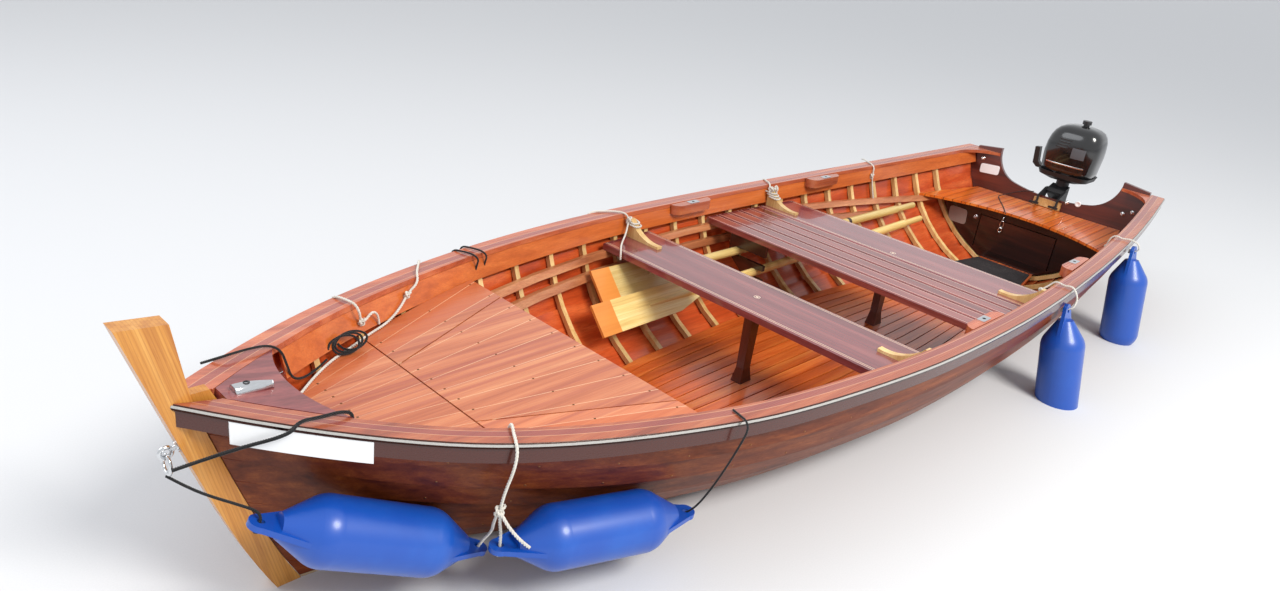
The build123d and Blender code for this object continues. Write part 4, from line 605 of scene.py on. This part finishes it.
# Fore platform: boards in a fan, whose half width at the aft edge shrinks by a slope towards the bow
DECK_BOARDS, DECK_HALF, DECK_SLOPE = 5.5, 0.60, 0.50
deck = lacquered("platform_wood", 0.5, 0.16)
deck_low, deck_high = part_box("fore_platform")
from_aft = deck.math("SUBTRACT", deck.axis("X"), deck_low.x)
span = deck.math("SUBTRACT", DECK_HALF, deck.math("MULTIPLY", from_aft, DECK_SLOPE))
fan = deck.math("DIVIDE", deck.axis("Y"), span)
board = deck.math("FRACT", deck.math("ADD", deck.math("MULTIPLY", fan, DECK_BOARDS), 40.5))
seam = deck.below(deck.math("ABSOLUTE", deck.math("SUBTRACT", board, 0.5)), 0.007, 0.014)
wood, _, fibre = grain(deck, "X", (168, 86, 54), (204, 120, 78), (222, 148, 102), broad=13)
spread = deck.noise(deck.scaled((0.1, 14, 1)), 3.0, 1)
wood = deck.tint(deck.step(spread, 0.5, 0.66), 0.5, wood, rgb(168, 84, 66))
wood = deck.tint(deck.step(deck.math("ABSOLUTE", fan), 0.72, 0.74), 0.6, wood, rgb(196, 96, 44))
deck.finish(deck.tint(seam, 0.8, wood, rgb(238, 196, 156)), fibre, (0.28, 0.44), 0.08)

mat = Shader("woven_mat", Specular_IOR_Level=0.2)
woven = mat.math("MULTIPLY", mat.bands(mat.place, "X", Scale=90), mat.bands(mat.place, "Y", Scale=90))
mottle = mat.noise(mat.place, 9, 4)
worn = mat.ramp(mottle, (0.35, rgb(66, 62, 64)), (0.65, rgb(96, 92, 92)))
mat.finish(mat.mix(woven, rgb(38, 36, 38), worn), mottle, (0.8, 0.95), 0.5, 0.001, woven)


def metal(name, colour, low, high, scratch=(4, 60, 60)):
    s = Shader(name, Metallic=1.0)
    marks = s.noise(s.scaled(scratch), 6.0, 4, 0.7)
    dull = tuple(c * 0.86 for c in colour[:3])
    s.finish(s.ramp(marks, (0.3, dull), (0.7, colour)), marks, (low, high), 0.03, 0.0004)
    return s


bead = metal("stainless", rgb(236, 232, 224), 0.16, 0.30)
# Painted shade: the rub strip's downward-facing half is coloured dark brown instead of steel
under = bead.below(bead.normal("Z"), -0.15, 0.20)
top_colour = bead.surface.inputs["Base Color"].links[0].from_socket
bead.colour(bead.mix(under, top_colour, rgb(58, 34, 28)))
chrome = metal("polished_steel", rgb(226, 228, 230), 0.05, 0.16)
bronze = metal("bronze", rgb(150, 104, 70), 0.30, 0.50, scratch=(60, 60, 60))


def moulded(name, colour, dusty, low, high, speckle=260, bump=0.12, **sockets):
    s = Shader(name, **sockets)
    spots = s.noise(s.place, speckle, 3)
    dust = s.noise(s.place, 4, 5, 0.6)
    s.finish(s.tint(s.step(dust, 0.45, 0.75), 0.5, colour, dusty), dust, (low, high), bump, 0.0004, spots)
    return s


cover = moulded("motor_cover", rgb(20, 20, 22), rgb(44, 44, 46), 0.28, 0.46, Coat_Weight=0.3,
                Coat_Roughness=0.2)
casting = moulded("motor_casting", rgb(30, 30, 32), rgb(58, 58, 60), 0.42, 0.62, speckle=180, bump=0.3)
vinyl = moulded("fender_vinyl", rgb(2, 74, 172), rgb(12, 96, 194), 0.34, 0.50, speckle=120, bump=0.06,
                Coat_Weight=0.5, Coat_Roughness=0.22)
plate = moulded("blank_plate", rgb(238, 239, 240), rgb(222, 222, 220), 0.25, 0.45, bump=0.02)
card = moulded("locker_card", rgb(158, 140, 130), rgb(128, 112, 104), 0.45, 0.65, bump=0.05)
pale_inlay = moulded("pale_inlay", rgb(236, 216, 196), rgb(214, 190, 168), 0.25, 0.40, bump=0.02)
gloss_black = moulded("cowl_gloss", rgb(14, 14, 16), rgb(26, 26, 29), 0.12, 0.26, speckle=90, bump=0.03,
                      Coat_Weight=0.8, Coat_Roughness=0.06)
panel_grey = moulded("cowl_panel_grey", rgb(86, 88, 92), rgb(66, 68, 72), 0.30, 0.45, bump=0.03)


def fibrous(name, dark, light):
    """Laid fibre: fine hairs and light soiling."""
    s = Shader(name, Specular_IOR_Level=0.2, Sheen_Weight=0.3, Sheen_Roughness=0.5)
    hairs = s.noise(s.place, 900, 3, 0.7)
    soil = s.noise(s.place, 30, 4, 0.6)
    fibres = s.ramp(hairs, (0.3, dark), (0.7, light))
    s.finish(s.tint(s.step(soil, 0.42, 0.72), 0.4, fibres, dark), hairs, (0.75, 0.92), 0.5, 0.0005)
    return s


rope_finish = fibrous("white_rope", rgb(186, 180, 168), rgb(240, 237, 230))
cord_finish = fibrous("black_cord", rgb(10, 10, 11), rgb(40, 40, 42))

dress(inside, "strakes_port", "strakes_starboard", second=outside)
for shader, names in (
        (stem, "stem_post keel"), (rib, "ribs_port ribs_starboard thwart_knees"), (bearer, "floor_bearers"),
        (cap, "gunwale_port gunwale_starboard rowlock_pads quarter_knees"),
        (inwale, "inwale_port inwale_starboard"), (riser, "riser_port riser_starboard"),
        (floor_wood, "floorboards"), (seat, "stern_seat"),
        (dark_wood, "locker_door locker_front platform_beams seat_beams oar_rests"),
        (post_wood, "thwart_posts"), (transom_wood, "transom"), (oar_outboard, "oar_outboard"),
        (oar_inboard, "oar_inboard"), (hook_wood, "breasthook"), (pad_wood, "motor_clamp_pad"),
        (thwart, "thwart_aft thwart_forward"), (slat, "thwart_slats"), (deck, "fore_platform platform_hatch"),
        (mat, "floor_mat"), (bead, "rub_strip_port rub_strip_starboard"),
        (chrome, "rowlock_sockets bow_ring bow_socket"), (cover, "motor_cowl motor_fuel_cap motor_tiller"),
        (casting, "motor_clamp motor_swivel motor_leg motor_pan propeller"), (plate, "registration_plates"),
        (vinyl, "fender_bow_fore fender_bow_aft fender_quarter_fore fender_quarter_aft")):
    dress(shader, *names.split())
dress(rope_finish, *CORD_PIECES["white_rope"])
dress(cord_finish, *CORD_PIECES["black_cord"])


# Trim: small fittings made round an axis or as thin plates with rounded corners
def merged(meshes):
    """Vertices and faces of several meshes, one list of each."""
    vertices, faces = [], []
    for mesh in meshes:
        base = len(vertices)
        vertices += [v.co.copy() for v in mesh.vertices]
        faces += [[base + i for i in p.vertices] for p in mesh.polygons]
    return vertices, faces


def tree_of(*names):
    return BVHTree.FromPolygons(*merged(NODES[name].data for name in names))


def turned(name, profile, place, axis=(0, 0, 1), sides=20):
    """A round piece: profile rows are radius and height along the axis."""
    w = Vector(axis).normalized()
    u = w.orthogonal().normalized()
    v = w.cross(u)
    vertices = []
    for radius, height in profile:
        for k in range(sides):
            angle = 2 * math.pi * k / sides
            vertices.append(Vector(place) + (u * math.cos(angle) + v * math.sin(angle)) * radius + w * height)
    return make(name, vertices, capped(len(profile), sides))


HOOP_STEPS, WIRE_SIDES = 28, 10


def hoop(name, place, radius, wire, axis, stretch_by=1.0):
    """A ring of round wire, taller by stretch_by."""
    w = Vector(axis).normalized()
    u = (Vector((0, 0, 1)) - w * w.z).normalized()
    v = w.cross(u)
    vertices, faces = [], []
    for k in range(HOOP_STEPS):
        turn = 2 * math.pi * k / HOOP_STEPS
        out = u * math.cos(turn) * stretch_by + v * math.sin(turn)
        for c in range(WIRE_SIDES):
            tilt = 2 * math.pi * c / WIRE_SIDES
            vertices.append(Vector(place) + out * radius + out.normalized() * wire * math.cos(tilt)
                            + w * wire * math.sin(tilt))
            here, after = k * WIRE_SIDES, (k + 1) % HOOP_STEPS * WIRE_SIDES
            side = (c + 1) % WIRE_SIDES
            faces.append((here + c, after + c, after + side, here + side))
    return make(name, vertices, faces)


PLATE_CORNER, CORNER_STEPS, PLATE_INSET = 0.25, 5, 0.03


def sheet_plate(name, corners, thick):
    """A thin plate with rounded corners and softened edges on four corner points, raised by thick."""
    corners = [Vector(c) for c in corners]
    out = (corners[1] - corners[0]).cross(corners[3] - corners[0]).normalized()
    outline = []
    for k in range(4):
        here, before, after = corners[k], corners[k - 1], corners[(k + 1) % 4]
        short = min((before - here).length, (after - here).length) * PLATE_CORNER
        start, end = here + (before - here).normalized() * short, here + (after - here).normalized() * short
        for step in range(CORNER_STEPS):
            t = step / (CORNER_STEPS - 1)
            outline.append(start.lerp(here, t).lerp(here.lerp(end, t), t))
    middle = sum(outline, Vector()) / len(outline)
    vertices = [p.copy() for p in outline] + [p + out * thick * 0.7 for p in outline]
    vertices += [p.lerp(middle, PLATE_INSET) + out * thick for p in outline]
    return make(name, vertices, capped(3, len(outline)), smooth=False)


def fit(piece, shader, body="hull"):
    piece.data.materials.append(shader.material)
    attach(piece, body)
    return piece


def join(name, pieces):
    """One mesh out of several loose ones of one material."""
    vertices, faces = merged(piece.data for piece in pieces)
    for piece in pieces:
        bpy.data.meshes.remove(piece.data)
    return make(name, vertices, faces)


EYE_PLATE = ((0.013, 0.0), (0.013, 0.0015), (0.0105, 0.003), (0.006, 0.0045), (0.0045, 0.010))
RING_OUT = Vector((0.016, 0, 0))


def eye(name, place, radius, wire):
    """A ring standing on a round foot that faces forward."""
    foot = turned("foot", EYE_PLATE, place, (1, 0, 0))
    ring = hoop("ring", Vector(place) + RING_OUT, radius, wire, (0, 1, 0.2))
    fit(join(name, [foot, ring]), chrome)


# Transom: eyes, a drain's disc and a blank label on its inner face, which is raked
transom_tree = tree_of("transom")
PROUD = 0.0003


def on_transom(y, z):
    spot = transom_tree.find_nearest(Vector((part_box("transom")[1].x, y, z)))[0]
    return spot + Vector((PROUD, 0, 0))


for k, (y, z) in enumerate(((-0.455, 0.480), (0.409, 0.395), (0.455, 0.417), (0.101, 0.387))):
    eye(f"transom_eye_{k + 1}", on_transom(y, z), 0.0085, 0.0022)
DISC = ((0.017, 0.0), (0.017, 0.002), (0.0150, 0.0038), (0.0100, 0.0042), (0.0090, 0.0025), (0.002, 0.0022))
fit(turned("transom_drain_disc", DISC, on_transom(0.162, 0.394), (1, 0, 0), 28), plate)
LABEL = ((-0.456, 0.448), (-0.453, 0.392), (-0.334, 0.402), (-0.337, 0.458))
fit(sheet_plate("transom_label", [on_transom(y, z) for y, z in LABEL], 0.0015), plate)

# Locker front: a blank card, a small eye and a hanging snap hook
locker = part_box("locker_front")[1].x + PROUD
CARD = ((-0.418, 0.236), (-0.412, 0.146), (-0.300, 0.146), (-0.306, 0.236))
fit(sheet_plate("locker_card", [(locker, y, z) for y, z in CARD], 0.0015), card)
eye("locker_eye", (locker, -0.250, 0.216), 0.008, 0.002)
staple = hoop("staple", (locker + 0.006, -0.086, 0.252), 0.012, 0.0024, (0, 1, 0), 1.2)
shackle = hoop("shackle", (locker + 0.010, -0.088, 0.222), 0.010, 0.0026, (1, 0.2, 0), 2.0)
snap = hoop("snap", (locker + 0.010, -0.090, 0.186), 0.009, 0.0034, (1, 0.3, 0), 1.5)
fit(join("locker_snap_hook", [staple, shackle, snap]), chrome)

# Bow fairlead: a chromed wedge on the breasthook, its point aft, with a socket in its top
low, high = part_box("bow_socket")
WEDGE = ((0.000, 0.34, 0.30), (0.20, 0.62, 0.52), (0.55, 0.86, 0.86), (0.86, 1.00, 1.00), (1.00, 0.90, 0.94))
ARCH = ((-1.0, 0.0), (-0.92, 0.5), (-0.62, 0.94), (-0.2, 1.0), (0.2, 1.0), (0.62, 0.94), (0.92, 0.5),
        (1.0, 0.0))
WEDGE_HALF = 0.021
vertices = []
for along, wide, tall in WEDGE:
    x = low.x + (high.x - low.x) * along
    base = low.z + 0.004 * along
    for y, z in ARCH:
        vertices.append((x, WEDGE_HALF * wide * y, base + (high.z - base - 0.001) * (0.35 + 0.65 * tall) * z))
ends = [tuple(range(len(ARCH))), tuple(reversed(range(len(vertices) - len(ARCH), len(vertices))))]
wedge = make("bow_fairlead", vertices, walls(len(WEDGE), len(ARCH)) + ends)
fit(wedge, chrome)
rounded = wedge.modifiers.new("rounded", "SUBSURF")
rounded.levels = rounded.render_levels = 2
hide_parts("bow_socket")
# Painted shade: the socket's lining is black so that the hole reads dark
PAINTED_SHADE_MOUTH = ((0.0075, -0.004), (0.0075, 0.0008), (0.0060, 0.0012), (0.0052, -0.004))
fit(turned("bow_fairlead_painted_shade_mouth", PAINTED_SHADE_MOUTH, (low.x + 0.66 * (high.x - low.x), 0, high.z - 0.002), sides=24),
    cover)

# Rivets outside, above the edge where each plank steps out: at every rib, and a last row one pitch aft
RIVET = ((0.0034, -0.0006), (0.0030, 0.0006), (0.0014, 0.0012))
RIVET_ROWS, RIB_PITCH, RIB_FIRST, RIVET_UP = 23, 0.1955, 2.011, 0.013
SCAN_LOW, SCAN_HIGH, SCAN_STEP, LAP_STEP = -0.10, 0.47, 0.004, 0.0055
for side, name in ((1, "port"), (-1, "starboard")):
    skin = tree_of(f"strakes_{name}")
    inboard = Vector((0, -side, 0))
    rivets = []
    for k in range(RIVET_ROWS):
        x = RIB_FIRST - RIB_PITCH * k
        last = None
        z = SCAN_LOW
        while z < SCAN_HIGH:
            hit = skin.ray_cast(Vector((x, 2 * side, z)), inboard)[0]
            reach = hit.y * side if hit else None
            if last is not None and reach is not None and reach - last > LAP_STEP:
                spot, normal = skin.ray_cast(Vector((x, 2 * side, z + RIVET_UP)), inboard)[:2]
                if spot:
                    rivets.append(turned("rivet", RIVET, spot, normal, 8))
            last = reach
            z += SCAN_STEP
    fit(join(f"rivets_{name}", rivets), bronze)

# Screws of the fore platform along its beams
SCREW = ((0.0042, 0.0), (0.0042, 0.0007), (0.0034, 0.0014), (0.0012, 0.0016))
SCREW_ROWS, SCREW_SUNK = (0.028, 0.262, 0.500, 0.760), Vector((0, 0, 0.0012))
deck_tree = tree_of("fore_platform", "platform_hatch")
screws = []
for row in SCREW_ROWS:
    x = deck_low.x + row
    span = DECK_HALF - (x - deck_low.x) * DECK_SLOPE
    for board in range(-5, 6):
        spot = deck_tree.ray_cast(Vector((x, board * span / DECK_BOARDS, 0.5)), Vector((0, 0, -1)))[0]
        if spot and spot.z > deck_high.z - 0.002:
            screws.append(turned("screw", SCREW, spot - SCREW_SUNK, sides=10))
fit(join("platform_screws", screws), bronze)

# Plain round inlays on the thwarts
RING = ((0.013, -0.0002), (0.013, 0.0003), (0.0105, 0.0003), (0.0105, -0.0002))
DOT = ((0.006, -0.0002), (0.006, 0.0003), (0.001, 0.0003))
for name, x, y in (("thwart_forward", 0.395, 0.006), ("thwart_aft", -0.592, 0.020)):
    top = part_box(name)[1].z
    ring = turned("ring", RING, (x, y, top), sides=32)
    dot = turned("dot", DOT, (x, y, top), sides=24)
    fit(join(f"{name}_inlay", [ring, dot]), pale_inlay)

# Motor: a smooth domed cowl over its pan, with bands, dark vents, blank panels and a pull handle
low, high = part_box("motor_cowl")
STEER_X = low.x / 2 + high.x / 2
middle_y = (low.y + high.y) / 2
# Rows of height, half width and half length as shares, and shift to port
COWL = ((0.000, 0.925, 0.945, 0.0), (0.030, 0.955, 0.955, 0.0), (0.075, 0.985, 0.98, 0.0),
        (0.120, 1.0, 1.0, 0.001), (0.165, 0.995, 0.985, 0.003), (0.205, 0.965, 0.940, 0.006),
        (0.235, 0.900, 0.865, 0.009), (0.257, 0.790, 0.750, 0.011), (0.271, 0.620, 0.590, 0.012),
        (0.279, 0.400, 0.390, 0.012), (0.2815, 0.160, 0.160, 0.012))
half_x, half_y = (high.x - low.x) / 2, (high.y - low.y) / 2
AROUND, SQUARE, COWL_SHORT = 64, 0.62, 0.985
vertices = []
for height, wide, long, back in COWL:
    for k in range(AROUND):
        angle = 2 * math.pi * k / AROUND
        c, q = math.cos(angle), math.sin(angle)
        vertices.append((STEER_X + half_x * wide * math.copysign(abs(c) ** SQUARE, c),
                         middle_y + back + half_y * long * COWL_SHORT * math.copysign(abs(q) ** SQUARE, q),
                         low.z + height))
cowl = make("motor_cowl_shell", vertices, capped(len(COWL), AROUND))
fit(cowl, gloss_black, "motor_head")
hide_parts("motor_cowl")
cowl_tree = BVHTree.FromPolygons(*merged([cowl.data]))


def cowl_patch(name, y0, y1, z0, z1, raise_by, shader, side=1, across=10, up=6):
    """A thin panel that follows the cowl's side."""
    vertices, faces = [], []
    for layer in (0.0, raise_by):
        for row in range(up + 1):
            for k in range(across + 1):
                from_side = Vector((STEER_X + side, y0 + (y1 - y0) * k / across, z0 + (z1 - z0) * row / up))
                hit, normal = cowl_tree.ray_cast(from_side, Vector((-side, 0, 0)))[:2]
                edge = row in (0, up) or k in (0, across)
                vertices.append(hit + normal * (layer * (0.3 if edge else 1.0)))
    per, wide = (up + 1) * (across + 1), across + 1
    for base, flip in ((0, True), (per, False)):
        for row in range(up):
            for k in range(across):
                a = base + row * wide + k
                quad = (a, a + 1, a + wide + 1, a + wide)
                faces.append(tuple(reversed(quad)) if flip else quad)
    fit(make(name, vertices, faces), shader, "motor_head")


VENTS, VENT_PITCH, VENT_SLANT = 4, 0.016, 0.004
for side, word in ((1, "fore"), (-1, "after")):
    cowl_patch(f"cowl_band_{word}", low.y + 0.05, high.y - 0.05, low.z + 0.052, low.z + 0.060, 0.0016, chrome,
               side)
    for k in range(VENTS):
        start = low.y + 0.085 + VENT_SLANT * k
        cowl_patch(f"cowl_vent_{word}_{k + 1}", start, start + 0.070, low.z + 0.150 + VENT_PITCH * k,
                   low.z + 0.157 + VENT_PITCH * k, 0.0022, cover, side, 8, 2)
    cowl_patch(f"cowl_panel_{word}", high.y - 0.135, high.y - 0.060, low.z + 0.105, low.z + 0.165, 0.0012,
               panel_grey, side)
GRIP = ((0.004, 0), (0.016, 0.001), (0.019, 0.006), (0.017, 0.013), (0.009, 0.017), (0.005, 0.022))
fit(turned("pull_grip", GRIP, (STEER_X - 0.020, low.y + 0.016, low.z + 0.080), (0, -1, 0.1), 24),
    cover, "motor_head")


# Floor at the waterline, open where the hull passes through it
FLOOR_REACH, FLOOR_SIDES, RIM_STEPS, END_GAP, SIDE_GAP, LEAST_HALF = 120.0, 96, 160, 0.006, 0.004, 0.002
JUST_ABOVE = 0.001
shell = tree_of("strakes_port", "strakes_starboard", "transom", "stem_post", "keel")
stem_x = shell.ray_cast(Vector((4, 0, JUST_ABOVE)), Vector((-1, 0, 0)))[0].x
stern_x = shell.ray_cast(Vector((-4, 0, JUST_ABOVE)), Vector((1, 0, 0)))[0].x
half = []
for k in range(RIM_STEPS + 1):
    x = stern_x + END_GAP + (stem_x - stern_x - 2 * END_GAP) * k / RIM_STEPS
    hit = shell.ray_cast(Vector((x, 3, JUST_ABOVE)), Vector((0, -1, 0)))[0]
    half.append((x, max(hit.y - SIDE_GAP, LEAST_HALF) if hit else LEAST_HALF))
rim = [(x, y, 0) for x, y in half] + [(x, -y, 0) for x, y in reversed(half)]
turns = [2 * math.pi * k / FLOOR_SIDES for k in range(FLOOR_SIDES)]
sheet = bmesh.new()
for loop in (rim, [(FLOOR_REACH * math.cos(turn), FLOOR_REACH * math.sin(turn), 0) for turn in turns]):
    corners = [sheet.verts.new(place) for place in loop]
    for k, corner in enumerate(corners):
        sheet.edges.new((corners[k - 1], corner))
bmesh.ops.triangle_fill(sheet, edges=sheet.edges[:], use_beauty=True, normal=(0, 0, 1))
floor_mesh = bpy.data.meshes.new("floor")
sheet.to_mesh(floor_mesh)
sheet.free()
floor = bpy.data.objects.new("floor", floor_mesh)
scene.collection.objects.link(floor)
pale = Shader("pale_floor", Roughness=0.75, Specular_IOR_Level=0.2)
speck = pale.noise(pale.place, 220, 2)
pale.colour(pale.ramp(speck, (0.2, rgb(216, 217, 219)), (0.8, rgb(221, 222, 224))))
floor.data.materials.append(pale.material)

# Light: a broad key from above the port side, a weak fill, and an even sky that the camera sees as grey
AIM, KEY_WATTS, FILL_WATTS, SKY_STRENGTH = Vector((0, 0, 0.2)), 560, 150, 0.82
for name, place, size, power, tint in (
        ("key", (0.6, 5.6, 6.2), 3.2, KEY_WATTS, (1.0, 0.97, 0.92)),
        ("fill", (5.5, -3.5, 5.0), 5.0, FILL_WATTS, (0.93, 0.96, 1.0))):
    lamp = bpy.data.lights.new(name, "AREA")
    lamp.shape, lamp.size, lamp.energy, lamp.color = "DISK", size, power, tint
    placed = bpy.data.objects.new(name, lamp)
    scene.collection.objects.link(placed)
    placed.location = place
    placed.rotation_euler = (AIM - Vector(place)).to_track_quat("-Z", "Y").to_euler()
world = bpy.data.worlds.new("sky")
scene.world = world
world.use_nodes = True
tree = world.node_tree
sky = tree.nodes["Background"]
sky.inputs["Color"].default_value = (0.95, 0.97, 1.0, 1)
sky.inputs["Strength"].default_value = SKY_STRENGTH
backdrop = tree.nodes.new("ShaderNodeBackground")
backdrop.inputs["Color"].default_value = (0.58, 0.59, 0.61, 1)
either = tree.nodes.new("ShaderNodeMixShader")
for source, socket in ((tree.nodes.new("ShaderNodeLightPath").outputs["Is Camera Ray"], either.inputs[0]),
                       (sky.outputs[0], either.inputs[1]), (backdrop.outputs[0], either.inputs[2]),
                       (either.outputs[0], tree.nodes["World Output"].inputs["Surface"])):
    tree.links.new(source, socket)
